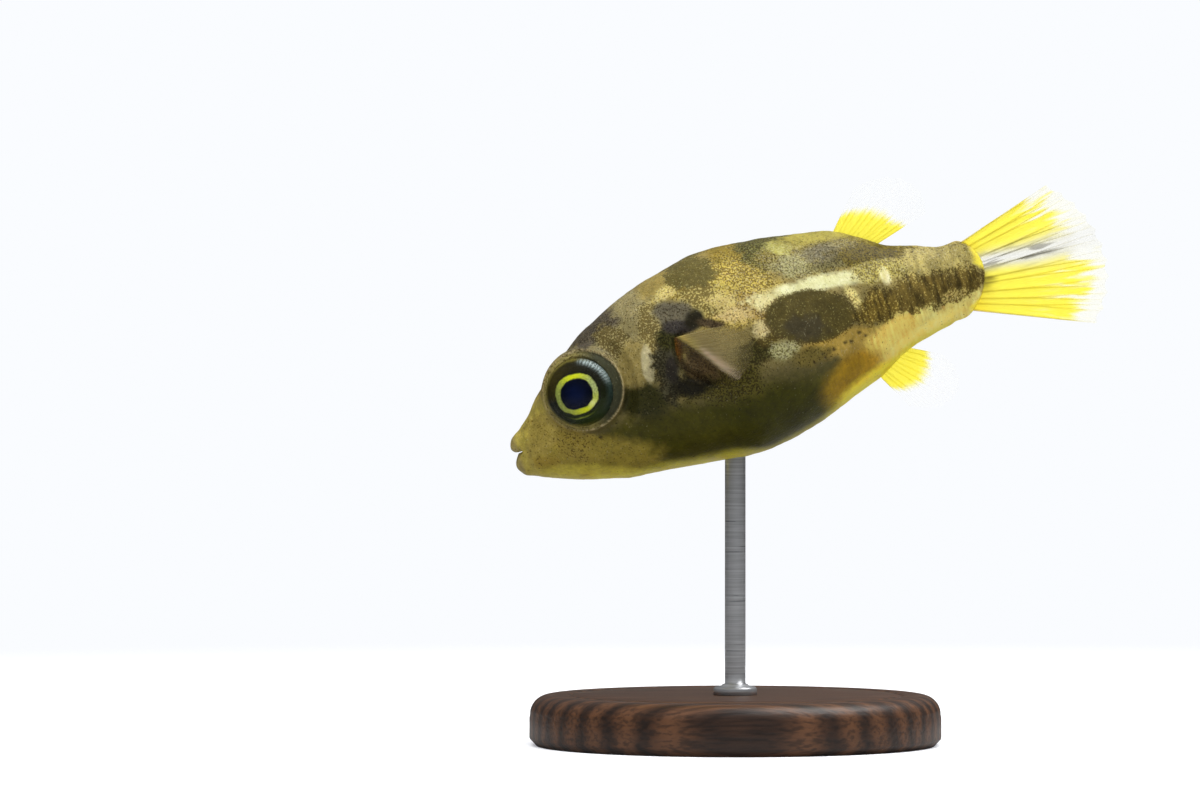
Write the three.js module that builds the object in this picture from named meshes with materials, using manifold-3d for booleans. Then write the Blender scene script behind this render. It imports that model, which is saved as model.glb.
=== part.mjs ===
// A dwarf pufferfish at life size, swimming nose-down, held by one rod on a small round display base.
// Millimetres, +Z up. The head points to -X and the left flank faces -Y. The origin is on the surface
// the base stands on, under the middle of the whole model.
//
// The fish is shaped in its own frame: x runs from the snout tip to the tail, z towards the back,
// and y towards its right side. A group then tips that frame nose-down and lifts it above the base.
import * as THREE from 'three';
import { mergeVertices } from 'three/addons/utils/BufferGeometryUtils.js';
import Module from 'manifold-3d';

const wasm = await Module();
wasm.setup();

// ---- Driving dimensions ----

const STANDARD_LENGTH = 22; // snout tip to the root of the tail fin
const NOSE_DOWN = THREE.MathUtils.degToRad(19);
const SNOUT_HEIGHT = 13.33; // of the fish frame's origin above the floor
const SNOUT_X = -13.09; // puts the model's middle over the origin
const CUT = 0.25; // width of the thin cuts that part the body
const EASE = 0.1; // clearance round the eyes and the rod
const HUGE = 60; // side of a block that takes in all that lies beyond a cut

// Where thin cuts part the body, along the fish.
const SNOUT_CUT = 1.75;
const HEAD_CUT = 7.6;
const STALK_CUT = 16.6;

// Sections of the body along the fish: back line, belly line, half width, height of the widest
// point, and how square the upper and the lower half are (2 is an ellipse).
const STATIONS = [
  { at: 0.26, back: 0.07, belly: -1.5, side: 0.72, waist: -0.7, square: 2.3, keel: 2.3 },
  { at: 0.65, back: 0.36, belly: -1.87, side: 1.0, waist: -0.7, square: 2.3, keel: 2.3 },
  { at: 1.22, back: 0.8, belly: -2.16, side: 1.32, waist: -0.6, square: 2.4, keel: 2.3 },
  { at: 1.74, back: 1.37, belly: -2.39, side: 1.58, waist: -0.45, square: 2.6, keel: 2.3 },
  { at: 2.83, back: 2.26, belly: -2.78, side: 2.08, waist: -0.2, square: 2.9, keel: 2.2 },
  { at: 4.35, back: 3.31, belly: -3.26, side: 2.62, waist: -0.1, square: 2.8, keel: 2.1 },
  { at: 6.09, back: 4.09, belly: -3.46, side: 3.1, waist: -0.2, square: 2.4, keel: 2.1 },
  { at: 8.27, back: 4.74, belly: -3.81, side: 3.42, waist: -0.3, square: 2.15, keel: 2.15 },
  { at: 10.44, back: 5.07, belly: -4.07, side: 3.55, waist: -0.3, square: 2.0, keel: 2.2 },
  { at: 13.05, back: 4.79, belly: -3.7, side: 3.2, waist: 0.1, square: 1.95, keel: 2.1 },
  { at: 15.23, back: 4.35, belly: -3.0, side: 2.55, waist: 0.5, square: 1.9, keel: 1.95 },
  { at: 16.4, back: 4.0, belly: -2.62, side: 2.15, waist: 0.55, square: 1.9, keel: 1.9 },
  { at: 17.4, back: 3.36, belly: -2.1, side: 1.82, waist: 0.5, square: 1.95, keel: 1.9 },
  { at: 18.27, back: 2.77, belly: -1.8, side: 1.55, waist: 0.4, square: 2.0, keel: 2.0 },
  { at: 20.01, back: 2.09, belly: -1.54, side: 1.1, waist: 0.25, square: 2.0, keel: 2.0 },
  { at: 21.75, back: 1.7, belly: -1.44, side: 0.62, waist: 0.1, square: 2.0, keel: 2.0 },
];
const LIP_FRONT = -0.06; // furthest forward point of the snout
const BODY_END = STANDARD_LENGTH + 0.1; // rounded end of the tail stalk
const BODY_AROUND = 32;
const BODY_ALONG = 38;
const CAP_SHARE = 0.09; // share of the rows that round off each end

// Mouth: a wedge cut across the snout, from the height of its open front to that of its corner.
const MOUTH = { depth: 0.5, front: -0.5, back: -0.56, gape: 0.32, width: 4 };

// Eyes: the place is the middle of the eyeball's rim. Each ball bulges out of a round mound of
// skin, whose widest ring lies sunk below the rim.
const EYE = { x: 3.79, y: 2.62, z: 1.0, forward: THREE.MathUtils.degToRad(10) };
const EYE_BALL = { radius: 1.48, bulge: 0.72, depth: 0.85 };
const EYE_MOUND = { radius: 1.75, bulge: 0.75, depth: 1.1, sunk: 0.42 };

// Gill opening: a crescent in front of each pectoral fin, cut to a depth in the flank by a blade
// that stands clear of it.
const GILL = { x: 8.15, z: 0.9, radius: 1.25, width: 0.3, depth: 0.3, clear: 1, sweep: 1.05 };

// Fins. root: front and rear end of the root line; lean: direction of the first and last ray, in
// degrees above the line to the tail, and late: how late the rays turn from one to the other;
// reach: length of the first, middle and last ray; wave: how far the web swings per mm of ray.
const FIN_RIM = 0.5;
const FIN_ROOT = 0.8;
const RAY_RELIEF = 0.12;
const ROOT_SINK = 0.7; // how far the roots run into the body before they are cut to its skin
const MEDIAN_FINS = {
  dorsal_fin: {
    root: [[16.42, 4.05], [18.2, 2.9]], lean: [45, 14], late: 1,
    reach: [2.1, 3.25, 2.3], rays: 7, wave: 0.05,
  },
  anal_fin: {
    root: [[16.3, -2.75], [17.88, -1.9]], lean: [-64, -30], late: 1,
    reach: [1.7, 3.0, 1.5], rays: 7, wave: 0.05,
  },
  caudal_fin: {
    root: [[21.6, 1.65], [21.4, -1.4]], lean: [15, -25], late: 1,
    reach: [4.4, 5.85, 5.05], rays: 10, wave: 0.05,
  },
};
const PECTORAL = {
  root: [[8.53, 1.82], [8.2, 0.4]], lean: [-4, -48], late: 1.7,
  reach: [2.3, 3.6, 1.3], rays: 8, wave: 0.06,
  out: THREE.MathUtils.degToRad(34), // swing of the fin away from the flank
  inset: 0.12, // of the root's first point below the flank's widest line
};

// Stand: a turned base with one upright rod, which runs into the belly.
const BASE = { radius: 9, height: 2.2, edge: 0.35, x: -3.2 };
const ROD = { radius: 0.45, seat: 1.3, reach: 15.4 };

// ---- Shapes ----

// A smooth curve through the stations' values, whose slope at a station follows its neighbours.
function station(key, x) {
  const last = STATIONS.length - 1;
  const beyond = STATIONS.findIndex((s) => s.at > x);
  const next = beyond < 0 ? last : Math.max(beyond, 1);
  const slope = (i) => {
    const a = STATIONS[Math.max(i - 1, 0)];
    const b = STATIONS[Math.min(i + 1, last)];
    return (b[key] - a[key]) / (b.at - a.at);
  };
  const from = STATIONS[next - 1];
  const to = STATIONS[next];
  const span = to.at - from.at;
  const t = Math.min(Math.max((x - from.at) / span, 0), 1);
  const t2 = t * t;
  const t3 = t2 * t;
  return (2 * t3 - 3 * t2 + 1) * from[key] + (t3 - 2 * t2 + t) * span * slope(next - 1)
    + (3 * t2 - 2 * t3) * to[key] + (t3 - t2) * span * slope(next);
}

// A power that keeps its base's sign.
function signedPower(base, power) {
  return Math.sign(base) * Math.abs(base) ** power;
}

// A point of the body's skin at x, a turn from the back over the left flank, and a share of its
// distance from the section's middle. grow moves the skin out.
function bodyPoint(x, turn, share = 1, grow = 0) {
  const waist = station('waist', x);
  const angle = turn * 2 * Math.PI;
  const upper = Math.cos(angle) >= 0;
  const power = 2 / station(upper ? 'square' : 'keel', x);
  const height = upper ? station('back', x) - waist : waist - station('belly', x);
  const middle = (station('back', x) + station('belly', x)) / 2;
  const y = -signedPower(Math.sin(angle), power) * (station('side', x) + grow) * share;
  const z = waist + signedPower(Math.cos(angle), power) * (height + grow);
  return new THREE.Vector3(x, y, middle + (z - middle) * share);
}

// Where row v (0 to 1) of the body lies: its x and the section's share of full size there. The
// rows at each end round it off.
function bodyRow(v, grow) {
  const first = STATIONS[0].at;
  const last = STATIONS[STATIONS.length - 1].at;
  if (v < CAP_SHARE) {
    const a = (v / CAP_SHARE) * Math.PI / 2;
    return { x: first - (first - LIP_FRONT + grow) * Math.cos(a), share: Math.sin(a) ** 0.8 };
  }
  if (v > 1 - CAP_SHARE) {
    const a = ((1 - v) / CAP_SHARE) * Math.PI / 2;
    return { x: last + (BODY_END + grow - last) * Math.cos(a), share: Math.sin(a) ** 0.8 };
  }
  const s = (v - CAP_SHARE) / (1 - 2 * CAP_SHARE);
  return { x: first + (last - first) * s ** 1.2, share: 1 };
}

// Moves each vertex of a ready-made geometry to where place(u, v) puts its texture point.
function shaped(geometry, place) {
  const { position, uv } = geometry.attributes;
  for (let i = 0; i < position.count; i += 1) {
    const p = place(uv.getX(i), uv.getY(i));
    position.setXYZ(i, p.x, p.y, p.z);
  }
  return geometry;
}

// A closed geometry as a solid, turned right side out if its faces point inwards.
function solid(geometry) {
  const bare = geometry.clone();
  bare.deleteAttribute('normal');
  bare.deleteAttribute('uv');
  const merged = mergeVertices(bare, 1e-4);
  const index = merged.index.array;
  const make = (order) => {
    const triVerts = [];
    for (let i = 0; i < index.length; i += 3) {
      const [a, b, c] = order.map((o) => index[i + o]);
      if (a !== b && b !== c && c !== a) triVerts.push(a, b, c);
    }
    return new wasm.Manifold(new wasm.Mesh({
      numProp: 3,
      vertProperties: new Float32Array(merged.attributes.position.array),
      triVerts: new Uint32Array(triVerts),
    }));
  };
  const made = make([0, 1, 2]);
  return made.volume() > 0 ? made : make([0, 2, 1]);
}

// The body's skin as one solid. A grown one cuts what has to stay clear of it.
function bodySolid(grow = 0) {
  const sphere = new THREE.SphereGeometry(1, BODY_AROUND, BODY_ALONG);
  return solid(shaped(sphere, (u, v) => {
    const row = bodyRow(v, grow);
    return bodyPoint(row.x, u, row.share, grow);
  }));
}

// A block that holds all of the fish from one x to another.
function slab(from, to) {
  const box = new THREE.BoxGeometry(to - from, HUGE, HUGE);
  return solid(box.translate((from + to) / 2, 0, 0));
}

// A round solid about its own +Z, given by its profile of [radius, height] points.
function turned(profile, segments) {
  return new THREE.LatheGeometry(profile.map(([r, h]) => new THREE.Vector2(r, h)), segments)
    .rotateX(Math.PI / 2);
}

// A quarter of an ellipse, as a profile from the rim (radius, rim) to the axis at rim + height.
function quarter(radius, height, rim, steps) {
  return Array.from({ length: steps + 1 }, (_, i) => {
    const a = (i / steps) * Math.PI / 2;
    return [i === steps ? 0 : radius * Math.cos(a), rim + height * Math.sin(a)];
  });
}

// A lens-shaped solid: a bulge above its rim and a rounded back below it.
function lens(radius, bulge, depth) {
  const back = quarter(radius, -depth, 0, 4).reverse();
  return turned([...back, ...quarter(radius, bulge, 0, 6).slice(1)], 22);
}

// Places a round solid so that its +Z looks out of the left (-1) or right (1) eye socket.
function atEye(geometry, side) {
  const out = new THREE.Vector3(-Math.sin(EYE.forward), side * Math.cos(EYE.forward), 0);
  const turn = new THREE.Quaternion().setFromUnitVectors(new THREE.Vector3(0, 0, 1), out);
  return geometry.applyQuaternion(turn).translate(EYE.x, side * EYE.y, EYE.z);
}

// A fan of rays in its own plane, as a flattened tube: f runs from the first ray to the last, g
// from the root to the rim. The two faces meet in one closed edge all round.
function finPlace(fin, around, bend) {
  const [front, rear] = fin.root;
  const [first, middle, last] = fin.reach;
  return (u, v) => {
    const column = Math.round(u * around) % around;
    const fold = Math.min(column, around - column);
    const f = fold / (around / 2);
    const g = 1 - v ** 1.5;
    const face = fold === column ? 0.5 : -0.5;
    const onEdge = g <= 0 || g >= 1 || fold === 0 || fold === around / 2;
    const lean = THREE.MathUtils.degToRad(fin.lean[0] + (fin.lean[1] - fin.lean[0]) * f ** fin.late);
    const fan = first * (1 - f) * (1 - 2 * f) + middle * 4 * f * (1 - f) + last * f * (2 * f - 1);
    const scallop = 1 - 0.03 * Math.abs(Math.sin(Math.PI * fin.rays * f));
    const along = (fan * scallop + ROOT_SINK) * g - ROOT_SINK;
    const ray = RAY_RELIEF * Math.cos(Math.PI * fin.rays * f) ** 2 * (1 - g);
    const thick = FIN_RIM + (FIN_ROOT - FIN_RIM) * (1 - g) ** 2 + ray;
    const wave = fin.wave * Math.max(along, 0) * Math.sin(2 * Math.PI * f + 0.6);
    const x = front[0] + (rear[0] - front[0]) * f + Math.cos(lean) * along;
    const z = front[1] + (rear[1] - front[1]) * f + Math.sin(lean) * along;
    return bend(x, wave + (onEdge ? 0 : face * thick), z);
  };
}

function finGeometry(fin, bend = (x, y, z) => new THREE.Vector3(x, y, z)) {
  const around = 6 * fin.rays;
  const tube = new THREE.CylinderGeometry(1, 1, 1, around, 6, true);
  return shaped(tube, finPlace(fin, around, bend));
}

// ---- The fish's pieces, in its own frame ----

const fish = new THREE.Group();
fish.name = 'fish';
fish.rotation.y = -NOSE_DOWN;
fish.position.set(SNOUT_X, 0, SNOUT_HEIGHT);
fish.updateMatrixWorld(true);

const body = bodySolid();
const clearOfBody = bodySolid(CUT);

// A crescent-shaped blade that opens the gill slit on one side.
function gillBlade(side) {
  const crescent = new THREE.Shape();
  crescent.absarc(0, 0, GILL.radius, Math.PI - GILL.sweep, Math.PI + GILL.sweep, false);
  crescent.absarc(GILL.width, 0, GILL.radius, Math.PI + GILL.sweep, Math.PI - GILL.sweep, true);
  const blade = new THREE.ExtrudeGeometry(crescent, {
    depth: GILL.clear, bevelEnabled: false, curveSegments: 10,
  });
  const floor = station('side', GILL.x) - GILL.depth;
  blade.rotateX(Math.PI / 2);
  return solid(blade.translate(GILL.x + GILL.radius, side > 0 ? floor + GILL.clear : -floor, GILL.z));
}

// A wedge that parts the lips.
function mouthWedge() {
  const open = LIP_FRONT - MOUTH.depth;
  const wedge = new THREE.Shape([
    new THREE.Vector2(MOUTH.depth, MOUTH.back),
    new THREE.Vector2(open, MOUTH.front + MOUTH.gape),
    new THREE.Vector2(open, MOUTH.front - MOUTH.gape),
  ]);
  const blade = new THREE.ExtrudeGeometry(wedge, { depth: MOUTH.width, bevelEnabled: false });
  return solid(blade.rotateX(Math.PI / 2).translate(0, MOUTH.width / 2, 0));
}

// The hole that takes the rod, upright once the fish is tipped.
function rodHole() {
  const hole = new THREE.CylinderGeometry(ROD.radius + EASE, ROD.radius + EASE, ROD.reach, 16);
  hole.rotateX(Math.PI / 2).translate(BASE.x, 0, ROD.reach / 2 + EASE);
  return solid(hole.applyMatrix4(fish.matrixWorld.clone().invert()));
}

// Swings a fin that was laid out in the middle plane out from the flank of one side.
function pectoralPlace(side) {
  const [pivotX] = PECTORAL.root[0];
  const flank = station('side', pivotX) - PECTORAL.inset;
  return (x, y, z) => {
    const along = x - pivotX;
    const swing = PECTORAL.out;
    return new THREE.Vector3(
      pivotX + along * Math.cos(swing) + y * Math.sin(swing),
      side * (flank + along * Math.sin(swing) - y * Math.cos(swing)),
      z,
    );
  };
}

// The body as one solid with its eye mounds, hollows and slits, parted by thin cuts.
function buildFlesh() {
  let whole = body;
  for (const side of [-1, 1]) {
    const mound = lens(EYE_MOUND.radius, EYE_MOUND.bulge, EYE_MOUND.depth);
    mound.translate(0, 0, -EYE_MOUND.sunk);
    const socket = lens(EYE_BALL.radius + EASE, EYE_BALL.bulge + EASE, EYE_BALL.depth + EASE);
    whole = whole.add(solid(atEye(mound, side)));
    whole = whole.subtract(solid(atEye(socket, side)));
    whole = whole.subtract(gillBlade(side));
  }
  whole = whole.subtract(mouthWedge()).subtract(rodHole());
  const half = CUT / 2;
  return {
    snout: whole.intersect(slab(-HUGE, SNOUT_CUT - half)),
    head: whole.intersect(slab(SNOUT_CUT + half, HEAD_CUT - half)),
    trunk: whole.intersect(slab(HEAD_CUT + half, STALK_CUT - half)),
    tail_stalk: whole.intersect(slab(STALK_CUT + half, HUGE)),
  };
}

function buildEyes() {
  const ball = (side) => solid(atEye(lens(EYE_BALL.radius, EYE_BALL.bulge, EYE_BALL.depth), side));
  return { eye_left: ball(-1), eye_right: ball(1) };
}

function buildFins() {
  const made = {};
  for (const [name, fin] of Object.entries(MEDIAN_FINS)) {
    made[name] = solid(finGeometry(fin)).subtract(clearOfBody);
  }
  for (const [name, side] of [['pectoral_fin_left', -1], ['pectoral_fin_right', 1]]) {
    made[name] = solid(finGeometry(PECTORAL, pectoralPlace(side))).subtract(clearOfBody);
  }
  return made;
}

// ---- The stand ----

function buildStand() {
  const { radius, height, edge } = BASE;
  const bore = ROD.radius + EASE;
  const base = turned([
    [0, 0], [radius - edge, 0], [radius, edge], [radius, height - edge], [radius - edge, height],
    [bore, height], [bore, ROD.seat - EASE], [0, ROD.seat - EASE],
  ], 44);
  const length = ROD.reach - ROD.seat;
  const rod = new THREE.CylinderGeometry(ROD.radius, ROD.radius, length, 16);
  rod.rotateX(Math.PI / 2).translate(BASE.x, 0, ROD.seat + length / 2);
  return { stand_base: solid(base.translate(BASE.x, 0, 0)), stand_rod: solid(rod) };
}

// ---- Assembly ----

const FINISHES = {
  skin: new THREE.MeshStandardMaterial({ color: '#8a7c46', roughness: 0.45, metalness: 0 }),
  fin: new THREE.MeshStandardMaterial({ color: '#f1df55', roughness: 0.4, metalness: 0 }),
  pectoral: new THREE.MeshStandardMaterial({ color: '#a79c78', roughness: 0.4, metalness: 0 }),
  eye: new THREE.MeshStandardMaterial({ color: '#10182c', roughness: 0.08, metalness: 0 }),
  wood: new THREE.MeshStandardMaterial({ color: '#3d2a1d', roughness: 0.5, metalness: 0 }),
  steel: new THREE.MeshStandardMaterial({ color: '#b9bcc0', roughness: 0.3, metalness: 1 }),
};

function meshOf(name, made, finish) {
  const { vertProperties, triVerts, numProp, numVert } = made.getMesh();
  const places = new Float32Array(numVert * 3);
  for (let i = 0; i < numVert; i += 1) {
    places.set(vertProperties.subarray(i * numProp, i * numProp + 3), i * 3);
  }
  const geometry = new THREE.BufferGeometry();
  geometry.setAttribute('position', new THREE.BufferAttribute(places, 3));
  geometry.setIndex(new THREE.BufferAttribute(new Uint32Array(triVerts), 1));
  geometry.computeVertexNormals();
  const mesh = new THREE.Mesh(geometry, finish);
  mesh.name = name;
  return mesh;
}

function addAll(group, solids, finishOf) {
  for (const [name, made] of Object.entries(solids)) group.add(meshOf(name, made, finishOf(name)));
}

addAll(fish, buildFlesh(), () => FINISHES.skin);
addAll(fish, buildEyes(), () => FINISHES.eye);
addAll(fish, buildFins(), (name) => (name.startsWith('pectoral') ? FINISHES.pectoral : FINISHES.fin));

const model = new THREE.Group();
model.add(fish);
addAll(model, buildStand(), (name) => (name === 'stand_rod' ? FINISHES.steel : FINISHES.wood));

export default model;
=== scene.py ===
"""A dwarf pufferfish at life size on a small display stand: its looks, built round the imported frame.

The fish is shaped in its own frame, in millimetres: x runs from the snout tip to the tail, z towards
the back and y towards its right side. to_world tips that frame nose-down, lifts it over the base and
turns it to metres.
"""

import math

import bpy
import numpy as np
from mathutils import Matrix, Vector, noise


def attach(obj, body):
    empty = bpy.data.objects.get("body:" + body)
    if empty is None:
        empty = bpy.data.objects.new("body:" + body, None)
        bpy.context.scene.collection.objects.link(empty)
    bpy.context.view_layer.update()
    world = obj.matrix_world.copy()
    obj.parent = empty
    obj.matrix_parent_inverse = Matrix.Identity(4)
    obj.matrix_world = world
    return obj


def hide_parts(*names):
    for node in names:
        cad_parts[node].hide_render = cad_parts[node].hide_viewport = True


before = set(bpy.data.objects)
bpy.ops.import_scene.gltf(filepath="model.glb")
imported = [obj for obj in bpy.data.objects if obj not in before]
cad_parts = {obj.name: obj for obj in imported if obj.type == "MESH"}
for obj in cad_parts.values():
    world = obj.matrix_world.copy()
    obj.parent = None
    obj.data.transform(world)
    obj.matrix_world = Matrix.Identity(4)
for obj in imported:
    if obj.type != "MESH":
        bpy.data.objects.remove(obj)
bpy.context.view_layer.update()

# ---- Driving sizes, in millimetres and degrees ----

MM = 0.001
NOSE_DOWN = math.radians(19)
SNOUT_HEIGHT = 13.33
SNOUT_X = -13.09

# Sections of the body along the fish: back line, belly line, half width, height of the widest
# point, and how square the upper and the lower half are (2 is an ellipse).
STATION_KEYS = ("at", "back", "belly", "side", "waist", "square", "keel")
STATIONS = np.array([
    (0.26, 0.07, -1.5, 0.72, -0.7, 2.3, 2.3),
    (0.65, 0.36, -1.87, 1.0, -0.7, 2.3, 2.3),
    (1.22, 0.8, -2.16, 1.32, -0.6, 2.4, 2.3),
    (1.74, 1.37, -2.39, 1.58, -0.45, 2.6, 2.3),
    (2.83, 2.26, -2.78, 2.08, -0.2, 2.9, 2.2),
    (4.35, 3.31, -3.26, 2.62, -0.1, 2.8, 2.1),
    (6.09, 4.09, -3.46, 3.1, -0.2, 2.4, 2.1),
    (8.27, 4.74, -3.81, 3.42, -0.3, 2.15, 2.15),
    (10.44, 5.07, -4.07, 3.55, -0.3, 2.0, 2.2),
    (13.05, 4.79, -3.7, 3.2, 0.1, 1.95, 2.1),
    (15.23, 4.35, -3.0, 2.55, 0.5, 1.9, 1.95),
    (16.4, 4.0, -2.62, 2.15, 0.55, 1.9, 1.9),
    (17.4, 3.36, -2.1, 1.82, 0.5, 1.95, 1.9),
    (18.27, 2.77, -1.8, 1.55, 0.4, 2.0, 2.0),
    (20.01, 2.09, -1.54, 0.9, 0.25, 2.0, 2.0),
    (21.0, 1.86, -1.46, 0.5, 0.2, 2.0, 2.0),
    (21.75, 1.88, -1.44, 0.15, 0.2, 2.0, 2.0),
])
TAIL_BOW_START = 19.6
TAIL_BOW = 1.05  # how far the lower corner of the tail's end lies before its middle
TAIL_BOW_MIDDLE = 0.55
TAIL_BOW_HALF = 1.88
TAIL_CAP_MIDDLE = 0.2
TAIL_END = 22.1  # rounded end of the flesh, between the first tail rays

# The lips, from deep in the throat out to the snout: each ring's half width, its top and bottom,
# and how far forward it lies at the top, at the corner of the mouth and at the bottom.
MOUTH_LEVEL = -0.66
LIP_RINGS = [
    # half width, top, bottom, x at top, x at corner, x at bottom
    (0.05, -0.63, -0.7, 1.3, 1.3, 1.3),
    (0.3, -0.58, -0.76, 1.0, 1.05, 1.0),
    (0.46, -0.62, -0.7, 0.5, 0.8, 0.5),
    (0.52, -0.64, -0.69, 0.24, 0.64, 0.24),
    (0.58, -0.58, -0.8, 0.06, 0.52, 0.12),
    (0.64, -0.42, -1.05, -0.04, 0.42, -0.03),
    (0.69, -0.2, -1.3, 0.0, 0.4, -0.05),
    (0.76, 0.0, -1.52, 0.12, 0.42, 0.07),
    (0.85, 0.16, -1.7, 0.34, 0.54, 0.22),
    (0.96, 0.28, -1.82, 0.56, 0.66, 0.5),
]
LIP_STEPS = 4
SNOUT_START = 0.74  # where the plain sections take over from the lips

SKIN_HALF = 138  # columns of skin from the back to the belly
HEAD_STEP = 0.046
TRUNK_STEP = 0.09
HEAD_END = 7.0
TAIL_CAP_ROWS = 7

# Eyes: the place is the middle of the eyeball's rim.
EYE_AT = np.array([3.62, 2.62, 0.95])
RIM_SHIFT = np.array([0.18, 0.04])  # towards the tail and up, from the eyeball to the rim round it
EYE_FORWARD = math.radians(10)
EYE_RADIUS = 1.48
EYE_BULGE = 0.72
EYE_DEPTH = 0.85
# Skin round the eyeball: distance from the eye's axis, and height over the eyeball's rim.
SOCKET = [(0.0, -0.6), (1.3, -0.4), (1.4, -0.02), (1.45, 0.1), (1.52, 0.05), (1.6, -0.05),
          (1.66, -0.14), (1.69, -0.14), (1.725, -0.05), (1.77, -0.1), (1.84, -0.26),
          (1.95, -0.42), (2.2, -0.62), (2.6, -0.9)]
SOCKET_HOLD = (1.8, 2.35)  # where the socket's skin turns into the head's
SOCKET_ZONE = 3.4
HEAD_MIDDLE = 0.3
SEARCH = (0.3, 6.0)  # nearest and farthest that skin is looked for from the head's middle
SEARCH_STEPS = 26
EYE_STEPS = 192
SHELL_STEPS = 128

GILL_MIDDLE = (9.4, 0.9)
GILL_RADIUS = 1.25
GILL_SWEEP = 1.05
GILL_WIDTH = 0.17
GILL_DEPTH = 0.32
GILL_FLAP = 0.1  # how far the gill cover behind the slit stands out

NOSTRIL_AT = (1.1, 0.42)
NOSTRIL_OUT = 0.85
NOSTRIL_RADIUS = 0.2
NOSTRIL_HEIGHT = 0.16

# Fins. root: front and rear end of the root line; lean: direction of the first and last ray, in
# degrees above the line to the tail, and late: how late the rays turn from one to the other;
# reach: length of the first, middle and last ray; wave: how far the web swings per mm of ray;
# pleat: how deep the web folds between two rays.
FINS = {
    "dorsal_fin": dict(root=((16.42, 4.05), (18.2, 2.9)), lean=(45, 14), late=1,
                       reach=(2.1, 3.25, 2.3), folds=7, wave=0.05, rays=10, pleat=0.01),
    "anal_fin": dict(root=((16.3, -2.75), (17.88, -1.9)), lean=(-64, -30), late=1,
                     reach=(1.7, 3.0, 1.5), folds=7, wave=0.05, rays=9, pleat=0.01),
    "caudal_fin": dict(root=((21.6, 1.75), (21.4, -1.4)), lean=(15, -25), late=1,
                       reach=(4.4, 5.85, 5.05), folds=10, wave=0.05, rays=11, pleat=0.02),
    "pectoral_fin": dict(root=((8.53, 1.82), (8.2, 0.4)), lean=(-4, -48), late=1.7,
                         reach=(2.3, 3.6, 1.3), folds=8, wave=0.06, rays=14, pleat=0.02),
}
PECTORAL_OUT = math.radians(34)
PECTORAL_INSET = 0.12
PECTORAL_FOLD = ((9.31, 1.03), (10.73, -0.66))  # on the fin before it is swung out
ROOT_SINK = 0.7  # how far the fins run into the body
WEB_ROOT = 0.12
WEB_RIM = 0.035
WEB_COLUMNS = 24  # between two rays
WEB_ROWS = 60
RAY_ROOT = 0.045
RAY_TIP = 0.014
RAY_POINTS = 26
RAY_SIDES = 8

GRAIN_PER_MM = 13.0  # grains of dark pigment in the skin

BASE_RADIUS = 9.0
BASE_HEIGHT = 2.2
BASE_X = -3.2
ROD_RADIUS = 0.45
ROD_SEAT = 1.3
ROD_TOP = 15.4
BASE_STEPS = 160
ROD_STEPS = 64


# ---- Small helpers ----

def linear(hex_colour):
    """An sRGB hex colour as linear red, green, blue and alpha."""
    parts = [int(hex_colour[i:i + 2], 16) / 255 for i in (1, 3, 5)]
    return [c / 12.92 if c <= 0.04045 else ((c + 0.055) / 1.055) ** 2.4 for c in parts] + [1.0]


def smooth(low, high, value):
    """0 below low, 1 above high, and a smooth rise between them."""
    t = np.clip((value - low) / (high - low), 0, 1)
    return t * t * (3 - 2 * t)


def bell(value, middle, width):
    """1 at the middle, falling off smoothly over a width on each side."""
    return np.exp(-((value - middle) / width) ** 2)


def power(base, exponent):
    """A power that keeps its base's sign."""
    return np.sign(base) * np.abs(base) ** exponent


def lay(under, over, share):
    """A colour with a share of another laid over it at each point. Each is hex or linear values."""
    under, over = (np.array(linear(c)[:3]) if isinstance(c, str) else c for c in (under, over))
    return under + (over - under) * np.asarray(share)[..., None]


def rough(points, size, octaves=2):
    """Smooth noise from about -1 to 1 whose lumps are size millimetres across."""
    scaled = points / size
    return np.array([noise.fractal(Vector(p), 1.0, 2.0, octaves) for p in scaled.tolist()])


def to_world(points):
    """Points of the fish's frame in millimetres, as points of the model's frame in metres."""
    x, y, z = np.asarray(points, float).T
    c, s = math.cos(NOSE_DOWN), math.sin(NOSE_DOWN)
    return np.stack([SNOUT_X + x * c - z * s, y, SNOUT_HEIGHT + x * s + z * c], 1) * MM


def show(made):
    """Puts an object in the scene."""
    bpy.context.scene.collection.objects.link(made)
    return made


def mesh_object(name, points, faces, material):
    """A smooth mesh object of one material, from points of the model's frame in metres."""
    mesh = bpy.data.meshes.new(name)
    mesh.from_pydata(np.asarray(points).tolist(), [], [list(f) for f in faces])
    mesh.shade_smooth()
    mesh.materials.append(material)
    return show(bpy.data.objects.new(name, mesh))


def store(made, **layers):
    """Stores linear colours, marks or places in millimetres for each point of a mesh, for its material."""
    for name, values in layers.items():
        values = np.asarray(values, np.float32).reshape(-1, 3)
        if name.endswith("place"):
            kind, slot = "FLOAT_VECTOR", "vector"
        else:
            kind, slot = "FLOAT_COLOR", "color"
            values = np.insert(values, 3, 1, axis=1)
        made.data.attributes.new(name, kind, "POINT").data.foreach_set(slot, values.ravel())


def grid_faces(rows, columns, closed):
    """Faces of a grid of points, row by row. A closed grid's last column joins its first."""
    last = columns if closed else columns - 1
    faces = []
    for start in range(0, (rows - 1) * columns, columns):
        for c in range(last):
            here, beside = start + c, start + (c + 1) % columns
            faces.append((here, beside, beside + columns, here + columns))
    return faces


def quarter(radius, height, start, end, steps):
    """Points (radius, height) along a quarter of an ellipse, by degrees from its top."""
    turn = np.linspace(math.radians(start), math.radians(end), steps)
    return [(radius * math.sin(a), height * math.cos(a)) for a in turn]


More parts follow.
